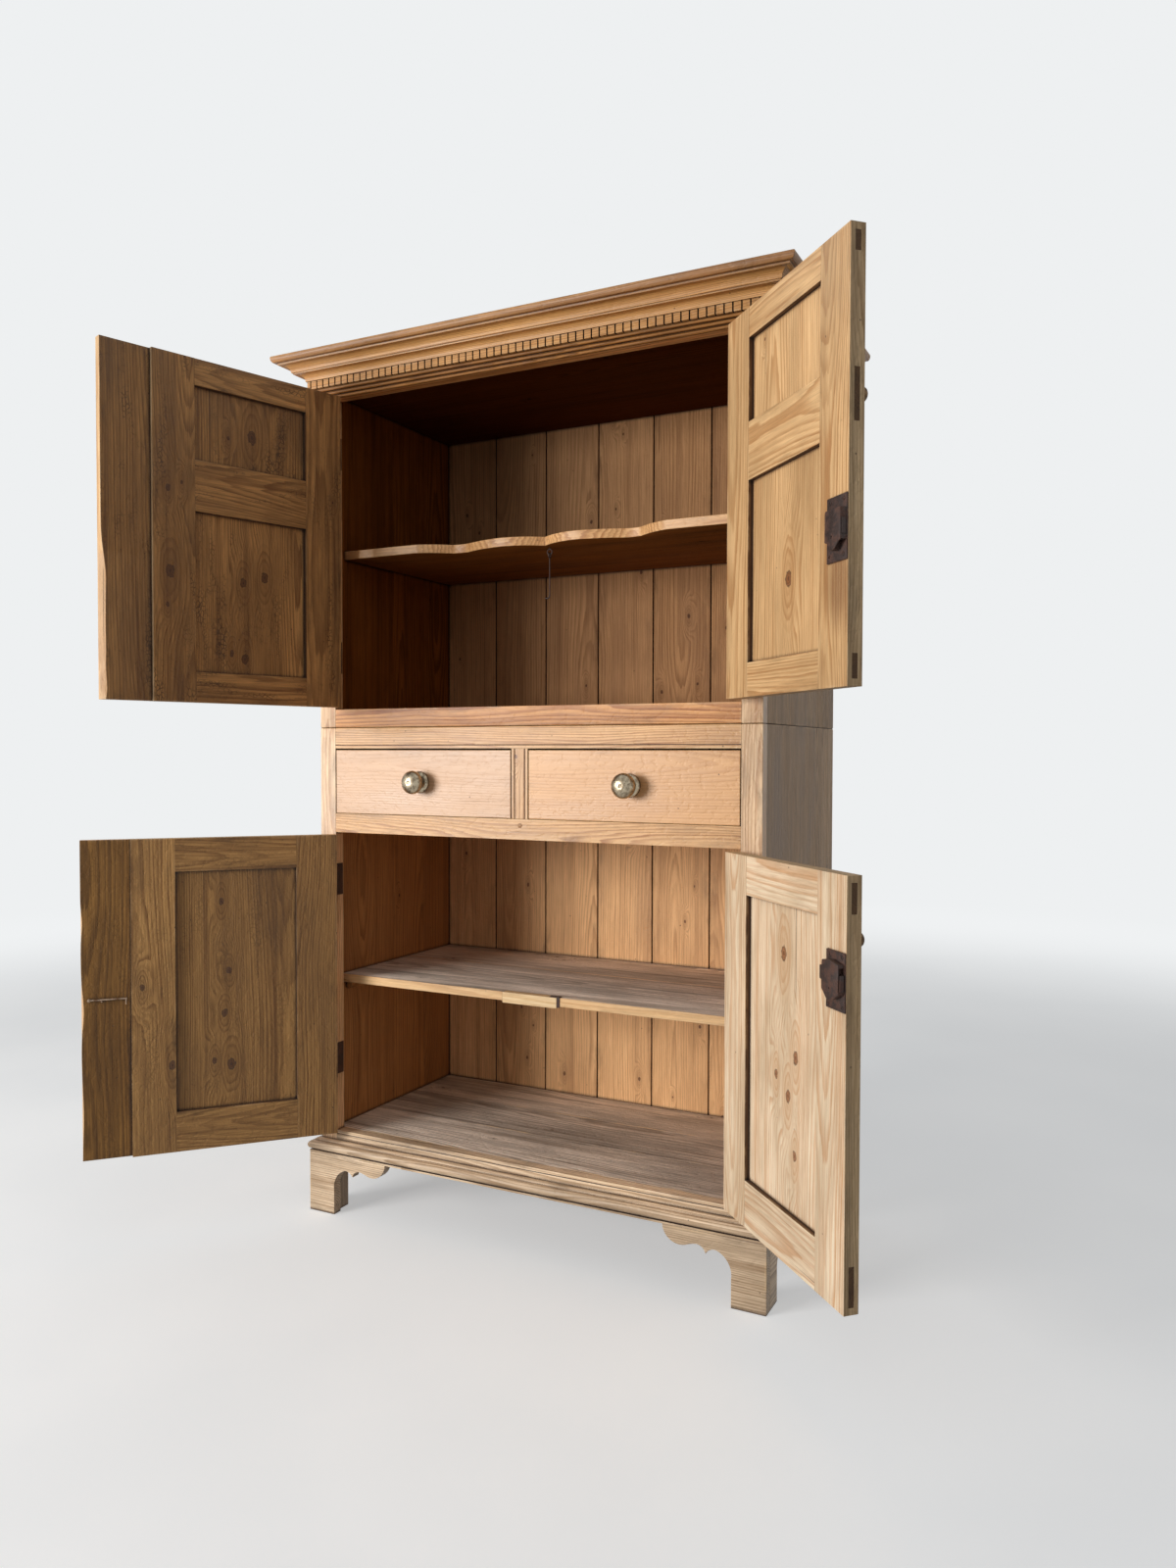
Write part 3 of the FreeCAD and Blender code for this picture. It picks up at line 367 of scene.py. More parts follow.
def pine(name, pale, dark, ring=0.006, grain=0.85, mottle=1.0, warmth=1.0, rough=0.5, shine=0.5, wax=0.0,
         gloss=0.32, grime=0.6, crackle=0.0, worn=0.3, shade=0.95, stained=False):
    """Old pine: growth rings that close round the knots, fibres, wormholes, dirt, painted shade in the hollows, worn
    arrises.
    """
    f = Finish(bpy.data.materials.new(name))
    local, half, seed = f.mark("local"), f.mark("half"), f.mark("seed")
    place = f.vector("ADD", local, f.vector("MULTIPLY", seed, (9.0, 5.0, 5.0)))
    sway = f.sum("MULTIPLY", f.sum("SUBTRACT", f.pattern(place, SWAY), 0.5), 0.022)
    bent = f.vector("ADD", local, f.point(0.0, sway, 0.0))

    # How many radii off the nearest knot is, for the knot itself and for the long ovals round it.
    core, ovals = None, None
    for count in range(KNOTS):
        knot = f.mark(f"knot_{count}")
        away = f.vector("SUBTRACT", bent, knot)
        near = f.sum("DIVIDE", f.vector("LENGTH", f.vector("MULTIPLY", away, (0.8, 1.2, 0.0))), f.parts(knot)[2])
        wide = f.sum("DIVIDE", f.vector("LENGTH", f.vector("MULTIPLY", away, (0.34, 1.0, 0.0))), f.parts(knot)[2])
        core = near if core is None else f.sum("MINIMUM", core, near)
        ovals = wide if ovals is None else f.sum("MINIMUM", ovals, wide)
    core = f.sum("MULTIPLY", core, f.fade(f.pattern(place, RAGGED), 0.2, 0.8, 0.85, 1.3))

    # Growth rings round a heart that lies below the board and wanders along it.
    along, across, deep = f.parts(bent)
    first, second, third = f.parts(seed)
    heart = f.sum("MULTIPLY", f.sum("MULTIPLY", f.sum("SUBTRACT", second, 0.5), 3.0), f.parts(half)[1])
    wander = f.noise(f.point(f.sum("MULTIPLY", along, 1.5), f.sum("MULTIPLY", first, 40.0), third), 1.0)
    slant = f.sum("MULTIPLY", along, f.sum("MULTIPLY", f.sum("SUBTRACT", first, 0.5), 0.06))
    below = f.sum("ADD", f.sum("ADD", f.sum("MULTIPLY", third, 0.02), f.sum("MULTIPLY", wander, 0.07)), slant)
    radius = f.vector("LENGTH", f.point(f.sum("SUBTRACT", across, heart), f.sum("ADD", deep, below), 0.0))
    shiver = f.pattern(place, SHIVER, 3.0)
    turns = f.sum("DIVIDE", f.sum("ADD", radius, f.sum("MULTIPLY", shiver, 0.006)),
                  f.fade(third, 0.0, 1.0, ring * 0.75, ring * 1.2))
    turns = f.sum("ADD", turns, f.fade(ovals, 1.5, 5.0, 3.0, 0.0))
    round_knot = f.sum("ADD", f.sum("MULTIPLY", ovals, 1.7), shiver)
    closed = f.fade(ovals, 3.4, 1.9)

    def summer(count):
        """Dark late wood: it deepens slowly and ends sharply, more in one year than in another."""
        season = f.sum("FRACT", count)
        year = f.add("TexWhiteNoise", {"W": f.sum("FLOOR", count)}, noise_dimensions="1D").outputs[0]
        band = f.sum("MULTIPLY", f.fade(season, 0.25, 0.85), f.fade(season, 1.0, 0.92))
        return f.sum("MULTIPLY", band, f.fade(year, 0.0, 1.0, 0.4, 1.0))

    late = f.add("Mix", {0: closed, 2: summer(turns), 3: f.sum("MULTIPLY", summer(round_knot), 0.75)}).outputs[0]
    fibre = f.pattern(place, FIBRE, 3.0, 0.65)
    patch = f.pattern(place, PATCH, 4.0, 0.6)
    streak = f.pattern(place, STREAK, 3.0, 0.6)

    # The rings' colour, streaked and mottled; a darker place is also a warmer one.
    colour = f.mix(f.sum("MULTIPLY", late, f.fade(patch, 0.3, 0.7, grain * 0.6, grain)), tint(pale), tint(dark))
    colour = f.mix(f.fade(streak, 0.44, 0.8, 0.0, min(0.5 * mottle, 0.9)), colour, tint(dark))
    shares = (1.0 - 0.25 * warmth, 1.0, 1.0 + 0.3 * warmth)
    for change, start, end, less, more in ((fibre, 0.22, 0.78, 0.2, 0.12), (patch, 0.25, 0.75, 0.22, 0.16),
                                           (first, 0.0, 1.0, 0.1, 0.06)):
        warm = [1.0 - share * less * mottle for share in shares] + [1.0]
        clear = [1.0 + more * mottle] * 3 + [1.0]
        colour = f.mix(1.0, colour, f.mix(f.fade(change, start, end), warm, clear), "MULTIPLY")

    # Knots, each with its own small rings and a black rim.
    heartwood = f.mix(1.0, tint(dark), tint(KNOT_SHADE), "MULTIPLY")
    black = f.mix(1.0, tint(dark), tint(BLACK_SHADE), "MULTIPLY")
    colour = f.mix(f.fade(ovals, 3.2, 0.8, 0.0, 0.35), colour, tint(dark))
    colour = f.mix(f.fade(core, 1.0, 0.75, 0.0, 0.75), colour, heartwood)
    years = f.fade(f.sum("FRACT", f.sum("MULTIPLY", core, 3.0)), 0.15, 0.95, 0.0, 0.6)
    colour = f.mix(f.sum("MULTIPLY", years, f.fade(core, 1.0, 0.85)), colour, black)
    rim = f.fade(f.sum("ABSOLUTE", f.sum("SUBTRACT", core, 0.92)), 0.2, 0.02, 0.0, 0.75)
    colour = f.mix(f.sum("MAXIMUM", rim, f.fade(core, 0.3, 0.1, 0.0, 0.7)), colour, black)

    # Rubbed arrises, dirt along the edges, and painted shade in the hollows and joints.
    margin = f.parts(f.vector("SUBTRACT", half, f.vector("ABSOLUTE", local)))
    flat = f.sum("MINIMUM", f.sum("MAXIMUM", margin[0], margin[1]), margin[2])
    edge = f.sum("MAXIMUM", f.sum("MINIMUM", margin[0], margin[1]), flat)
    rub = f.pattern(place, RUB, 4.0, 0.65)
    arris = f.sum("MULTIPLY", f.fade(edge, 0.006, 0.001), f.fade(rub, 0.52, 0.4, 0.0, worn))
    colour = f.mix(arris, colour, tint(RUBBED))
    soil = f.sum("MULTIPLY", f.fade(edge, 0.03, 0.0), f.fade(rub, 0.46, 0.74, 0.0, grime * 0.7))
    colour = f.mix(soil, colour, black)
    # Ambient occlusion darkens the colour in hollows and joints: painted shade.
    painted_hollow_shade = f.add("AmbientOcclusion", {"Distance": 0.009}, samples=6).outputs["AO"]
    colour = f.mix(f.fade(painted_hollow_shade, 0.9, 0.5, 0.0, shade), colour, black)

    # Wormholes, splits, crackled varnish and a stain from iron.
    worm = f.add("TexVoronoi", {"Vector": f.vector("MULTIPLY", place, WORM), "Scale": 1.0})
    eaten = f.sum("MULTIPLY", f.fade(worm.outputs["Distance"], 0.075, 0.045),
                  f.fade(f.parts(worm.outputs["Color"])[0], 0.8, 0.84))
    split = f.pattern(place, SPLIT, 1.0)
    opened = f.sum("MAXIMUM", f.fade(split, 0.77, 0.8), eaten)
    colour = f.mix(f.sum("MULTIPLY", opened, 0.7), colour, black)
    if crackle:
        cells = f.add("TexVoronoi", {"Vector": f.vector("MULTIPLY", place, CRACKS), "Scale": 1.0},
                      feature="DISTANCE_TO_EDGE").outputs[0]
        where = f.pattern(place, CRACKED, 4.0, 0.7)
        lines = f.sum("MULTIPLY", f.fade(cells, 0.16, 0.03), f.fade(where, 0.5, 0.68, 0.0, crackle))
        colour = f.mix(lines, colour, black)
    if stained:
        stain = f.mark("stain")
        reach = f.vector("LENGTH", f.vector("MULTIPLY", f.vector("SUBTRACT", bent, stain), (0.55, 1.0, 0.0)))
        near = f.sum("DIVIDE", reach, f.parts(stain)[2])
        colour = f.mix(f.fade(near, 1.0, 0.25, 0.0, 0.6), colour, tint(RUST_STAIN))

    dents = f.pattern(place, DENTS)
    height = f.sum("ADD", f.sum("MULTIPLY", late, 0.4), f.sum("MULTIPLY", fibre, 0.6))
    height = f.sum("SUBTRACT", f.sum("ADD", height, f.fade(dents, 0.3, 0.5, 0.0, 0.8)), opened)
    return f.shader({
        "Base Color": colour,
        "Roughness": f.fade(patch, 0.2, 0.8, rough - 0.07, rough + 0.1),
        "Specular IOR Level": shine,
        "Coat Weight": wax, "Coat Roughness": gloss,
        "Normal": f.bump(height, 0.0006, 0.8),
    })


def iron(name, base, rust):
    """Old iron, dull brown with rust in the pits."""
    f = Finish(bpy.data.materials.new(name))
    place = f.add("TexCoord", {}).outputs["Object"]
    clouds = f.pattern(place, (55.0, 55.0, 55.0), 4.0, 0.6)
    grit = f.pattern(place, (420.0, 420.0, 420.0), 3.0)
    colour = f.mix(f.fade(clouds, 0.42, 0.62), tint(base), tint(rust))
    colour = f.mix(1.0, colour, f.fade(grit, 0.25, 0.75, 0.7, 1.2), "MULTIPLY")
    return f.shader({
        "Base Color": colour, "Metallic": 0.35,
        "Roughness": f.fade(clouds, 0.35, 0.65, 0.48, 0.75),
        "Normal": f.bump(f.sum("ADD", grit, clouds), 0.0004, 0.7),
    })


PITTED = "3c3020"


def brass(name, bright, tarnish):
    """Worn brass gone grey, mottled and scratched."""
    f = Finish(bpy.data.materials.new(name))
    place = f.add("TexCoord", {}).outputs["Object"]
    mottle = f.pattern(place, (95.0, 95.0, 95.0), 4.0, 0.65)
    pits = f.pattern(place, (520.0, 520.0, 520.0))
    scratch = f.pattern(place, (60.0, 900.0, 700.0))
    colour = f.mix(f.fade(mottle, 0.4, 0.64), tint(bright), tint(tarnish))
    colour = f.mix(f.fade(pits, 0.62, 0.72, 0.0, 0.6), colour, tint(PITTED))
    return f.shader({
        "Base Color": colour, "Metallic": 1.0,
        "Roughness": f.fade(mottle, 0.35, 0.7, 0.24, 0.46),
        "Normal": f.bump(f.sum("ADD", f.sum("MULTIPLY", scratch, 0.4), pits), 0.0002, 0.6),
    })


WAXED = pine("waxed_pine", "f1c188", "aa6a30", grain=0.95, wax=0.25, rough=0.45)
STILE = pine("stile_pine", "ffdcb2", "b98250", mottle=1.5, warmth=0.6, wax=0.25, rough=0.45)
RAIL = pine("upper_rail_pine", "ecb072", "9c5822", mottle=1.5, grain=0.95, wax=0.12, rough=0.48)
POLISHED = dict(gloss=0.34, rough=0.42, grain=0.45, mottle=0.5, grime=0.3)
DRAWER = pine("drawer_pine", "eeb67c", "bc7c42", wax=0.4, **POLISHED)
# The left drawer front, paler than the right: painted glare.
LEFT_DRAWER_GLARE = pine("left_drawer_painted_glare_pine", "ecbe94", "c48c58", wax=0.35, **POLISHED)
CORNICE = pine("cornice_pine", "dfac69", "9a602a", wax=0.2, ring=0.004)
FASCIA = pine("cornice_edge_pine", "c8945a", "84532a", wax=0.2, ring=0.004)
# The reeded frieze under the dentils, darker: painted shade.
FRIEZE_SHADE = pine("frieze_painted_shade_pine", "ac763a", "623a14", ring=0.004, shade=0.7, shine=0.3)
DENTIL = pine("dentil_pine", "dca865", "a06430", ring=0.004, shade=0.4)
# Saw cuts between the dentils and the arrises round the drawer fronts, dark: painted shade in the cuts and gaps.
KERF_SHADE = pine("kerf_painted_shade_pine", "5a3522", "3a2014", rough=0.7)
SIDE = pine("side_pine", "d2b492", "86694c", mottle=2.2, warmth=0.6, rough=0.58)
BASE = pine("base_pine", "fbe0c0", "a8835c", mottle=1.4, warmth=0.4, rough=0.5, wax=0.1, worn=0.5)
# Left doors' insides and the lower closing plank: darker and browner than the right doors', partly their own tone,
# partly painted shade.
BROWN_SHADED = pine("brown_shaded_door_pine", "d6a468", "7a5029", mottle=1.8, warmth=0.4, crackle=0.75, grime=0.8, worn=0.12)
DULL_SHADED = pine("dull_shaded_door_pine", "b88e58", "6a4620", mottle=1.7, warmth=0.5, rough=0.52, crackle=0.3, grime=0.8,
            worn=0.12)
PLANK_SHADED = pine("dull_shaded_plank_pine", "9c7440", "5a3e20", mottle=1.9, warmth=0.5, rough=0.52, shine=0.35, crackle=0.3,
             grime=0.9, worn=0.1)
PALE = pine("pale_door_pine", "f2c892", "b0743a", warmth=0.5, wax=0.1, rough=0.52, grime=0.4, stained=True)
# The lower right door's inside, paler than the upper one's: painted light.
PALE_PAINTED_LIGHT = pine("pale_painted_light_door_pine", "ffeed4", "d49c66", mottle=1.2, wax=0.1, rough=0.54, grime=0.3)
STRIP = pine("let_in_pine", "fbe0b4", "d6aa70", rough=0.56, grime=0.2)
# Faces round the panels, painted dark: painted shade in the recess.
PANEL_EDGE_SHADE = pine("panel_edge_painted_shade_pine", "6e4c2d", "46301c", rough=0.7)
# The right doors' outer edges: worn pale, and made paler still as painted light.
EDGE_WEAR_AND_LIGHT = pine("worn_edge_painted_light_pine", "e6caa2", "a08058", rough=0.66, ring=0.004, worn=0.2)
TENON = pine("tenon_pine", "6d5238", "37271a", rough=0.8, ring=0.003)
# The upper case's back boards, darker than the lower case's: painted shade.
UPPER_BACK_SHADED = pine("upper_back_painted_shade_pine", "c99a6c", "80542f", grain=0.6, rough=0.66, shine=0.3, worn=0.0)
# Insides of the upper case, darker than its back: painted shade.
UPPER_PAINTED_SHADE = pine("upper_painted_shade_pine", "885424", "48280e", mottle=1.5, rough=0.66, shine=0.1, worn=0.0)
# The upper case's ceiling, painted near black: painted shade under the top.
CEILING_SHADE = pine("ceiling_painted_shade_pine", "562a0a", "301404", rough=0.7, shine=0.02, worn=0.0)
OUTER_BACK = pine("outer_back_pine", "b08e6a", "6e5238", rough=0.72, shine=0.3, worn=0.1)
LOWER_BACK = pine("lower_back_pine", "eebf8a", "a07046", grain=0.6, rough=0.62, worn=0.0)
# Insides of the lower case, darker than its back: painted shade.
LOWER_PAINTED_SHADE = pine("lower_painted_shade_pine", "b9854f", "764a22", rough=0.62, worn=0.0)
DRY = pine("dry_pine", "f2e2d2", "96826f", mottle=1.9, warmth=0.0, rough=0.76, worn=0.8)
IRON = iron("old_iron", "41332f", "5b4036")
STEEL = iron("worn_steel", "bca48e", "8c6c54")
BRASS = brass("worn_brass", "b5a78f", "756856")
# The door knobs' brass, darker: painted shade.
SHADED_BRASS = brass("shaded_brass", "6b5540", "3b2a1d")


# Case.

FACING = 0.5  # a face looks a way when its normal has more than this of it
JOINT_ROUNDING = 0.0024
TONGUE = 0.004


def inwards(normal, place):
    """True on a face that looks to the middle of the case."""
    return normal.x * (place.x - CASE_MIDDLE) < -0.2


def on_box_side(box, normal, place, near=0.002):
    """True on a face that lies in the side of the box that it looks to."""
    axis = max(range(3), key=lambda way: abs(normal[way]))
    side = box[1] if normal[axis] > 0 else box[0]
    return abs(place[axis] - side[axis]) < near


def open_joint(bm, level):
    """Rounds the arrises that meet at a level, so that a joint shows there."""
    arrises = [edge for edge in bm.edges if all(abs(vertex.co.z - level) < 1e-5 for vertex in edge.verts)]
    bmesh.ops.bevel(bm, geom=arrises, offset=JOINT_ROUNDING, offset_type="OFFSET", segments=3, profile=0.5,
                    affect="EDGES", clamp_overlap=True, material=-1)


def loose_tongues(bm):
    """Closes the open joints between upright boards with thin tongues in the middle of their thickness."""
    boards = boards_in(bm, Matrix.Identity(4))
    tongues = []
    for (_, low, high), (_, beyond, _) in zip(boards, boards[1:]):
        middle = (low.y + high.y) / 2
        tongues.append(slab((high.x, middle - TONGUE / 2, low.z), (beyond.x, middle + TONGUE / 2, high.z)))
    return joined(bm, *tongues)


def plain_boards(node, finishes, slot, rule=None, width=0.0013, joint=None, tongued=False, **grain):
    """Dresses a node's boards: eased arrises, the marks for the grain, and a finish for each face."""
    body = BODY_OF[node]
    bm = merged_copy(node)
    if joint:
        open_joint(bm, joint)
    ease(bm, width)
    if tongued:
        bm = loose_tongues(bm)
    mark_grain(bm, node, body, **grain)
    set_piece("wood_" + node, bm, finishes, body, [node], rule)


def case_boards():
    """The two cases' own boards; the bottom rail is finished as the base is."""
    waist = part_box("upper_stiles")[0].z
    floor_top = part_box("lower_floor_boards")[1].z
    stages = (("upper", RAIL, UPPER_PAINTED_SHADE, UPPER_BACK_SHADED), ("lower", WAXED, LOWER_PAINTED_SHADE, LOWER_BACK))
    for stage, rail, inside, back in stages:
        plain_boards(f"{stage}_sides", [SIDE, inside], "waxed_pine", lambda n, p: int(inwards(n, p)), joint=waist,
                     plenty=0.3)
        plain_boards(f"{stage}_stiles", [STILE], "waxed_pine", width=0.0016, joint=waist, plenty=0.2)
        plain_boards(f"{stage}_rails", [rail, BASE], "waxed_pine", lambda n, p: int(p.z < floor_top + 0.005),
                     width=0.0016, joint=waist, plenty=0.2)
        plain_boards(f"{stage}_back_boards", [back, OUTER_BACK], "inside_pine", lambda n, p: int(n.y > FACING),
                     width=0.002, tongued=True, plenty=1.6)
    plain_boards("lower_floor_boards", [LOWER_PAINTED_SHADE, DRY], "dry_pine", lambda n, p: int(n.z > FACING), plenty=0.6)
    plain_boards("upper_floor_board", [UPPER_BACK_SHADED], "inside_pine")
    plain_boards("upper_top_board", [CEILING_SHADE, OUTER_BACK], "inside_pine", lambda n, p: int(n.z > FACING))
    plain_boards("lower_top_board", [LOWER_PAINTED_SHADE], "inside_pine")
    plain_boards("drawer_deck", [LOWER_PAINTED_SHADE], "inside_pine")
    plain_boards("drawer_muntin", [WAXED], "waxed_pine", width=0.0008)
    plain_boards("shelf_cleats", [LOWER_PAINTED_SHADE], "inside_pine")
    plain_boards("upper_shelf", [UPPER_PAINTED_SHADE, WAXED], "waxed_pine", lambda n, p: int(n.y < -0.3))
    plain_boards("lower_shelf", [DRY, PALE], "dry_pine", lambda n, p: int(n.y < -0.3), plenty=0.5)
    plain_boards("shelf_patch", [STRIP], "waxed_pine")


def mouldings():
    """Cornice, frieze darkened as painted shade, dentils with painted shade in the saw cuts between them, base and
    feet.
    """
    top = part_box("cornice")[1].z
    plain_boards("cornice", [CORNICE, FASCIA], "waxed_pine", lambda n, p: int(p.z > top - 0.016), width=0.0006,
                 plenty=0.2)
    plain_boards("reeded_frieze", [FRIEZE_SHADE], "waxed_pine", width=0.0004, plenty=0.0)
    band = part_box("dentil_band")

    # Faces inside the saw cuts, which take the painted shade.
    def kerf(normal, place):
        return int(max(abs(normal.x), abs(normal.y)) > FACING and not on_box_side(band, normal, place))

    plain_boards("dentil_band", [DENTIL, KERF_SHADE], "waxed_pine", kerf, width=0.0003, plenty=0.5)
    plain_boards("base_moulding", [BASE], "waxed_pine", width=0.0006, plenty=0.2)
    plain_boards("bracket_feet", [BASE], "waxed_pine", width=0.0015, plenty=0.3)


# Doors. Knots are listed where they show, as along, across and radius in metres.

DOOR_KNOTS = {
    "lower_left_panels": {0: [(0.198, 0.032, 0.0075), (0.04, 0.016, 0.0065), (-0.056, 0.027, 0.0075),
                              (-0.164, 0.048, 0.0065), (-0.175, 0.012, 0.011)]},
    "lower_left_stiles": {1: [(0.024, 0.026, 0.0065), (-0.155, -0.036, 0.009)]},
    "upper_left_panels": {0: [(0.031, 0.017, 0.0085), (0.048, -0.032, 0.01), (-0.135, 0.013, 0.01),
                              (-0.123, 0.044, 0.0065), (-0.105, 0.073, 0.004)],
                          1: [(-0.004, -0.004, 0.0125), (-0.016, 0.05, 0.004)]},
    "upper_left_stiles": {1: [(0.082, 0.017, 0.006), (-0.09, 0.012, 0.012), (-0.159, 0.018, 0.005),
                              (0.097, -0.014, 0.004)]},
    "lower_right_panels": {0: [(0.182, 0.003, 0.012), (0.007, -0.042, 0.011), (-0.067, -0.014, 0.01),
                               (-0.04, 0.029, 0.007), (-0.166, -0.042, 0.008)]},
    "upper_right_panels": {0: [(-0.033, -0.01, 0.0125)], 1: [(0.06, 0.09, 0.003)]},
}
INSIDES = {"upper_left": BROWN_SHADED, "lower_left": DULL_SHADED, "upper_right": PALE, "lower_right": PALE_PAINTED_LIGHT}
PLANKS = {"upper_left": BROWN_SHADED, "lower_left": PLANK_SHADED}
STAINS = {"upper_right_stiles": {0: (-0.195, -0.018, 0.055)}}
CLOSING_BITES = {
    "upper_left": [(1.46, 0.05, 0.006), (1.38, 0.08, 0.008), (1.29, 0.05, 0.006), (1.22, 0.04, 0.009)],
    "lower_left": [(0.53, 0.05, 0.005), (0.72, 0.03, 0.003), (0.3, 0.08, 0.003)],
}


def door_faces(door, part, near=0.004):
    """Which finish a face of a door takes: 0 front, 1 inside, 2 round the panels (painted shade), 3 outer edges, 4
    ends of tenons.
    """
    low, high = shut_box(f"{door}_stiles", f"{door}_door")

    def rule(normal, place):
        if normal.y > FACING:
            return 1
        if normal.y < -FACING:
            return 0
        axis = 0 if abs(normal.x) > abs(normal.z) else 2
        if min(abs(place[axis] - low[axis]), abs(place[axis] - high[axis])) > near:
            return 2
        return 4 if part == "rails" and axis == 0 else 3

    return rule


def waney_edge(node, bm, bites, near=0.001):
    """Wears back the inner arris along a plank's free edge; bites are height, reach along the plank and depth."""
    body = BODY_OF[node]
    turn = shutting(body)
    high = shut_box(node, body)[1]
    bmesh.ops.transform(bm, matrix=turn, verts=bm.verts)
    upright = [edge for edge in bm.edges if abs(edge.verts[0].co.z - edge.verts[1].co.z) > 0.5]
    bmesh.ops.subdivide_edges(bm, edges=upright, cuts=90, use_grid_fill=True)
    for vertex in bm.verts:
        if vertex.co.x > high.x - near and vertex.co.y > high.y - near:
            for height, reach, depth in bites:
                vertex.co.x -= depth * math.exp(-((vertex.co.z - height) / reach) ** 2)
    bmesh.ops.transform(bm, matrix=turn.inverted(), verts=bm.verts)


def doors():
    """Frames and panels, and the closing boards with their worn edges."""
    for door, inside in INSIDES.items():
        finishes = [WAXED, inside, PANEL_EDGE_SHADE, EDGE_WEAR_AND_LIGHT, TENON]
        for part in ("stiles", "rails", "panels"):
            node = f"{door}_{part}"
            plain_boards(node, finishes, "waxed_pine", door_faces(door, part), knots=DOOR_KNOTS.get(node),
                         plenty=0.25, stains=STAINS.get(node), upright=part == "panels")
    for door, bites in CLOSING_BITES.items():
        node = f"{door}_closing_board"
        bm = merged_copy(node)
        waney_edge(node, bm, bites)
        ease(bm, 0.001)
        mark_grain(bm, node, BODY_OF[node], plenty=0.06)
        set_piece("wood_" + node, bm, [WAXED, PLANKS[door], PALE], BODY_OF[node], [node],
                  lambda n, p: 1 if n.y > 0.86 else (2 if n.x > 0.3 else 0))


# Drawers.

def drawers():
    """Fronts with a dark line round them, painted shade for the gap, and boxes."""
    # The left front is paler, a painted glare.
    for side, finish in (("left", LEFT_DRAWER_GLARE), ("right", DRAWER)):
        plain_boards(f"{side}_drawer_front", [finish, KERF_SHADE], "waxed_pine", lambda n, p: int(-0.7 < n.y < -0.2),
                     width=0.002, plenty=0.0)
        plain_boards(f"{side}_drawer_box", [LOWER_BACK], "inside_pine")


# Metalwork.

SCREW_RADIUS, SCREW_HEIGHT, SCREW_ROUNDING = 0.0034, 0.0016, 0.0007
SLOT_LENGTH, SLOT_WIDTH, SLOT_FLOOR, SLOT_TOP = 0.01, 0.001, 0.0009, 0.003


def screw(x, z, front, turn):
    """A round slotted screw head."""
    head = pin(x, z, front, SCREW_RADIUS, SCREW_HEIGHT)
    rims = [edge for edge in head.edges if all(vertex.co.y > front + SCREW_HEIGHT / 2 for vertex in edge.verts)]
    bmesh.ops.bevel(head, geom=rims, offset=SCREW_ROUNDING, segments=2, profile=0.5, affect="EDGES", material=-1)
    slot = slab((x - SLOT_LENGTH / 2, front + SLOT_FLOOR, z - SLOT_WIDTH / 2),
                (x + SLOT_LENGTH / 2, front + SLOT_TOP, z + SLOT_WIDTH / 2))
    bmesh.ops.rotate(slot, cent=(x, front, z), matrix=Matrix.Rotation(math.radians(turn), 3, "Y"), verts=slot.verts)
    return cut_out(head, slot)


# A lock's case is drawn in millimetres: away from the door's free edge, then up from the plate's lower edge.

PLATE_MARGIN, PLATE_THICKNESS, CASE_THICKNESS = 0.0006, 0.0026, 0.0118
MOUTH_FLOOR, MOUTH_ROOF, SCREW_SEAT = 0.0034, 0.0128, 0.0022
BOLT_PLAY = Vector((0.0005, 0.0005, 0.0005))
BOLT_WAY = Vector((0.01, 0.0005, 0.0005))
LOCKS = {
    "upper": {
        "plate": 62,
        "case": [(1, 30), (6, 28), (14, 22), (19, 17), (30, 16), (38, 28), (49, 31), (49, 78), (46, 81), (1, 81)],
        "mouth": (0, 19, 11, 31), "holes": [(27.5, 38, 1.7), (27.5, 35.5, 1.2)], "plate_holes": [(53, 10, 2.6)],
        "screws": [(10, 9, 20), (51, 96, 70), (10, 96, 130)],
    },
    "lower": {
        "plate": 58,
        "case": [(2, 30), (16, 20.5), (38, 18), (53, 32), (53, 46), (59, 47), (59, 69), (53, 70), (52, 79), (29, 82),
                 (2, 77.5)],
        "mouth": (-1, 9, 36, 72), "holes": [(29, 36.5, 1.4)], "plate_holes": [],
        "screws": [(8, 7, 30), (51, 6, 100), (9, 88, 55), (50, 88, 10)],
    },
}


def rim_locks():
    """Plate, case with its mouth and key holes, and screws; the bolt slides in a way that is cut through the case."""
    for level, shape in LOCKS.items():
        node, body = f"{level}_right_lock", f"{level}_right_door"
        low, high = shut_box(node, body)
        bolt_low, bolt_high = shut_box(f"{level}_lock_bolt", body)
        free, face, foot = low.x, low.y, low.z

        def on_plate(x, z):
            return free + x / 1000, foot + z / 1000

        plate = slab((free + PLATE_MARGIN, face, foot),
                     (free + shape["plate"] / 1000, face + PLATE_THICKNESS, high.z))
        ease(plate, 0.0006)
        holes = [pin(*on_plate(x, z), front=face + 0.001, radius=r / 1000, depth=0.01)
                 for x, z, r in shape["plate_holes"]]
        if holes:
            plate = cut_out(plate, *holes)
        case = sawn_shape([on_plate(x, z) for x, z in shape["case"]], face + PLATE_THICKNESS, CASE_THICKNESS)
        ease(case, 0.0009)
        way = slab(bolt_low - BOLT_WAY, bolt_high + BOLT_PLAY)
        start, end, lower, upper = [mm / 1000 for mm in shape["mouth"]]
        mouth = slab((free + start, face + MOUTH_FLOOR, foot + lower), (free + end, face + MOUTH_ROOF, foot + upper))
        holes = [pin(*on_plate(x, z), front=face + 0.007, radius=r / 1000, depth=0.02) for x, z, r in shape["holes"]]
        case = cut_out(case, way, mouth, *holes)
        heads = [screw(*on_plate(x, z), face + SCREW_SEAT, turn) for x, z, turn in shape["screws"]]
        lock = joined(plate, case, *heads)
        bmesh.ops.transform(lock, matrix=shutting(body).inverted(), verts=lock.verts)
        set_piece(f"{level}_rim_lock", lock, [IRON], body, [node])


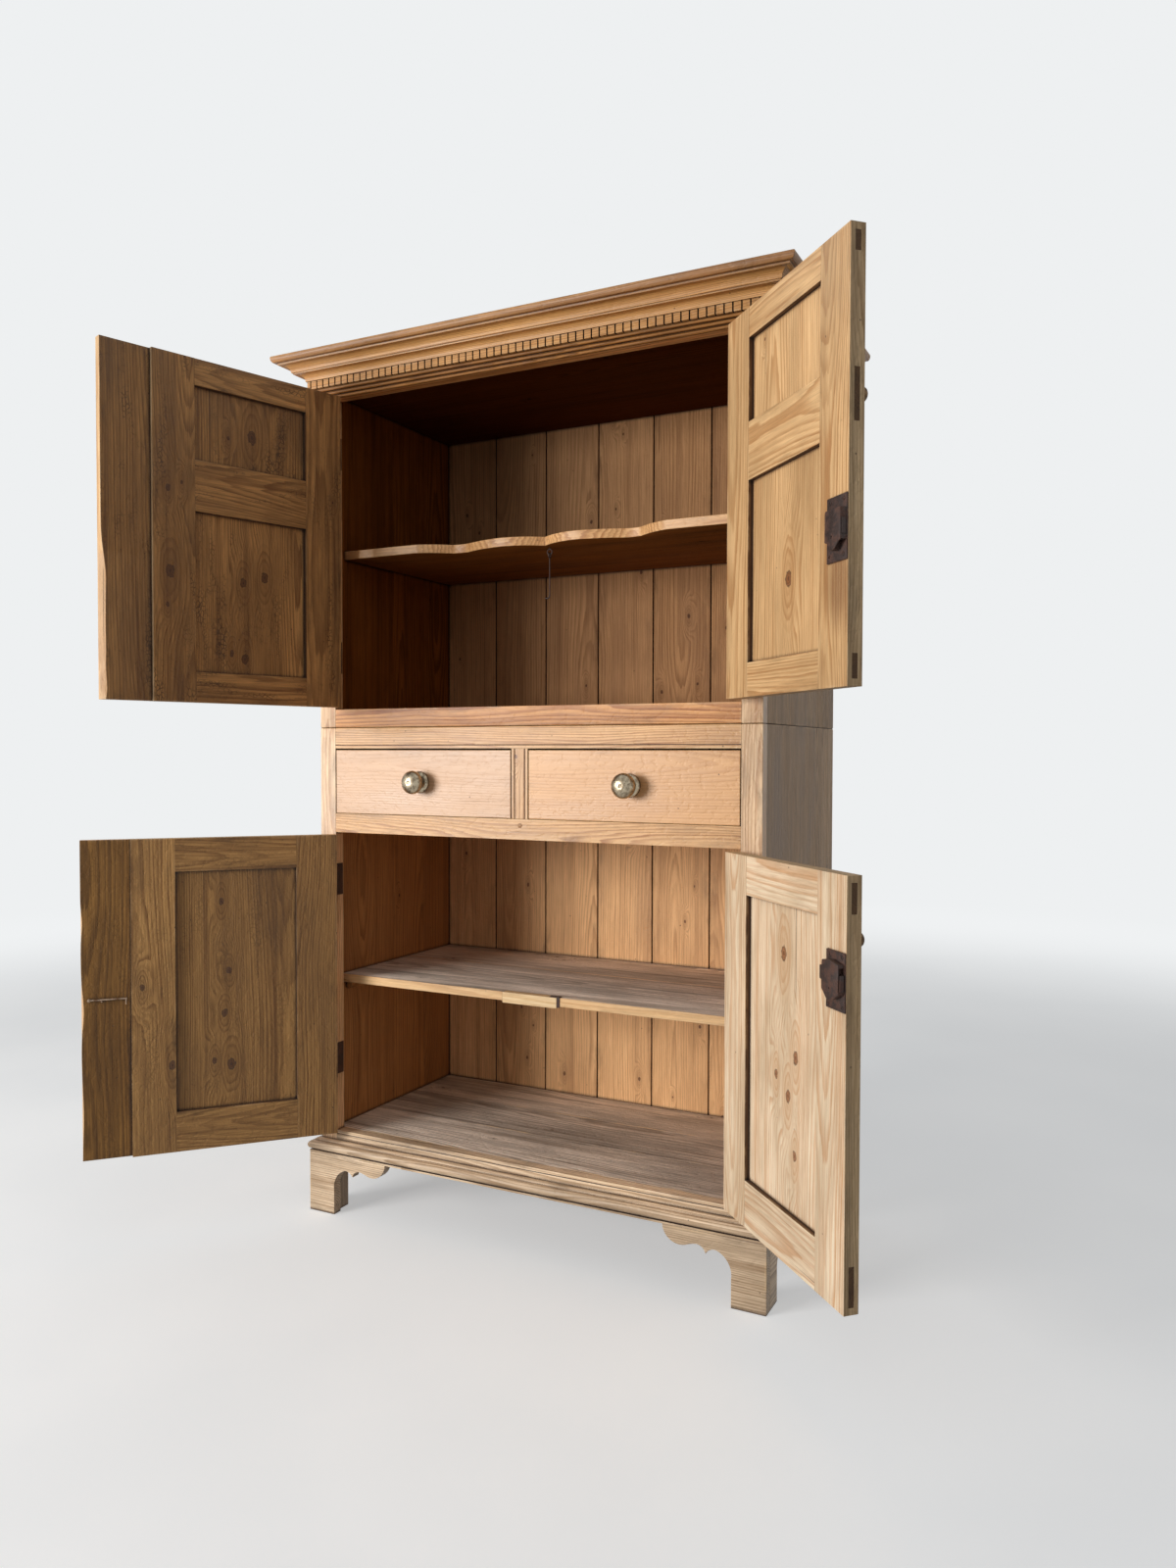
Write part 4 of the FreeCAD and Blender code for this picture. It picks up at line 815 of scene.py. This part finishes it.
# A knob's outline: how far out, in its own radii, and how far forward, in its own length.

KNOB_STEPS = 56
KNOB_TURNING = [(0.0, 0.0), (0.93, 0.0), (0.93, 0.05), (0.9, 0.08), (0.82, 0.12), (0.62, 0.165), (0.44, 0.19),
                (0.4, 0.22), (0.4, 0.36), (0.46, 0.39), (0.66, 0.415), (0.86, 0.47), (0.96, 0.55), (1.0, 0.645),
                (0.97, 0.74), (0.87, 0.835), (0.7, 0.91), (0.48, 0.962), (0.26, 0.988), (0.15, 0.992), (0.1, 0.978),
                (0.0, 0.974)]


def knobs():
    """Turned brass knobs, brighter on the drawers than on the doors, whose knobs are darkened as painted shade."""
    for node in ("left_drawer_knob", "right_drawer_knob", "upper_right_knob", "lower_right_knob"):
        body = BODY_OF[node]
        low, high = shut_box(node, body)
        middle, radius, reach = (low + high) / 2, (high.x - low.x) / 2, high.y - low.y
        bm = bmesh.new()
        path = [bm.verts.new((middle.x + r * radius, high.y - h * reach, middle.z)) for r, h in KNOB_TURNING]
        outline = [bm.edges.new(pair) for pair in zip(path, path[1:])]
        bmesh.ops.spin(bm, geom=path + outline, cent=(middle.x, 0.0, middle.z), axis=(0.0, 1.0, 0.0),
                       angle=math.tau, steps=KNOB_STEPS, use_merge=True)
        bmesh.ops.remove_doubles(bm, verts=bm.verts, dist=1e-6)
        bmesh.ops.recalc_face_normals(bm, faces=bm.faces)
        bmesh.ops.transform(bm, matrix=shutting(body).inverted(), verts=bm.verts)
        finish = BRASS if "drawer" in node else SHADED_BRASS
        set_piece("turned_" + node, bm, [finish], body, [node], smooth=50)


def rail_peg():
    """The end of the peg that holds the post between the drawers, a little proud of the rail."""
    peg = pin(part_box("drawer_muntin")[0].x + 0.0215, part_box("drawer_muntin")[0].z - 0.014, front=-0.0007,
              radius=0.0052, depth=0.012)
    ease(peg, 0.0006)
    mark_grain(peg, "rail_peg", "carcass", plenty=0.0)
    set_piece("rail_peg", peg, [FASCIA], "carcass", [])


def ironwork():
    """Hinges, bolts, hooks and the irons at the shelves."""
    for node in frame["nodes"]:
        if any(word in node for word in ("hinge", "bolt", "hook", "irons")):
            bm = merged_copy(node)
            ease(bm, 0.0003, angle=40)
            finish = STEEL if node in ("door_hook", "lower_left_hook_pins") else IRON
            set_piece("iron_" + node, bm, [finish], BODY_OF[node], [node])


# Room, lamps and camera.

BACKDROP = "eef0f1"


def studio_floor():
    """A pale floor that keeps the object's shadow and fades into the backdrop."""
    bm = bmesh.new()
    bmesh.ops.create_circle(bm, cap_ends=True, segments=96, radius=16.0)
    mesh = bpy.data.meshes.new("floor")
    bm.to_mesh(mesh)
    bm.free()
    f = Finish(bpy.data.materials.new("pale_floor"))
    place = f.add("TexCoord", {}).outputs["Object"]
    cloud = f.pattern(place, (1.5, 1.5, 1.5), 3.0)
    seen = f.seen()
    far = f.fade(f.vector("LENGTH", place), 1.6, 6.5)
    near_colour = f.mix(f.fade(cloud, 0.3, 0.7), tint("dfe0e1"), tint("e8e8e8"))
    glow = f.sum("MULTIPLY", seen, f.fade(far, 0.0, 1.0, 0.42, 1.0))
    mesh.materials.append(f.shader({
        "Base Color": f.mix(seen, tint("6e6f71"), f.mix(far, near_colour, tint("000000"))),
        "Roughness": 0.85, "Specular IOR Level": 0.0,
        "Emission Color": tint(BACKDROP), "Emission Strength": glow,
    }))
    floor = bpy.data.objects.new("floor", mesh)
    bpy.context.scene.collection.objects.link(floor)


def studio_light():
    """A soft fill from all round, and the pale backdrop that the camera and reflections see."""
    f = Finish(bpy.data.worlds.new("studio"))
    bpy.context.scene.world = f.owner
    fill = f.add("Background", {0: (0.96, 0.98, 1.0, 1.0), 1: 0.3}).outputs[0]
    wall = f.add("Background", {0: tint(BACKDROP), 1: 1.0}).outputs[0]
    both = f.add("MixShader", {0: f.seen(), 1: fill, 2: wall}).outputs[0]
    f.add("OutputWorld", {0: both})


def lamp(name, place, aim, size, watts, colour):
    """A soft lamp that looks at a point."""
    light = bpy.data.lights.new(name, "AREA")
    light.shape = "RECTANGLE"
    light.size, light.size_y = size
    light.energy = watts
    light.color = colour
    holder = bpy.data.objects.new(name, light)
    holder.location = place
    holder.rotation_euler = (Vector(aim) - Vector(place)).to_track_quat("-Z", "Y").to_euler()
    bpy.context.scene.collection.objects.link(holder)


CAMERA_PLACE = (1.25198, -2.10069, 1.09389)
CAMERA_HEADING, CAMERA_DIP, CAMERA_ROLL = 26.8137, 1.5406, 0.1336
CAMERA_LENS, CAMERA_SENSOR = 25.7625, 36.0


def camera():
    """The photograph's viewing angle."""
    lens = bpy.data.cameras.new("camera")
    lens.sensor_width = CAMERA_SENSOR
    lens.lens = CAMERA_LENS
    holder = bpy.data.objects.new("camera", lens)
    turn = (Matrix.Rotation(math.radians(CAMERA_HEADING), 4, "Z")
            @ Matrix.Rotation(math.radians(90 - CAMERA_DIP), 4, "X")
            @ Matrix.Rotation(math.radians(CAMERA_ROLL), 4, "Z"))
    holder.matrix_world = Matrix.Translation(CAMERA_PLACE) @ turn
    bpy.context.scene.collection.objects.link(holder)
    bpy.context.scene.camera = holder


camera()
studio_floor()
studio_light()
lamp("window", place=(-3.0, -4.4, 1.5), aim=(0.05, 0.0, 1.0), size=(2.3, 2.0), watts=225.0, colour=(1.0, 0.985, 0.96))
case_boards()
mouldings()
doors()
drawers()
rim_locks()
knobs()
ironwork()
rail_peg()
bpy.context.scene.view_settings.view_transform = "Standard"
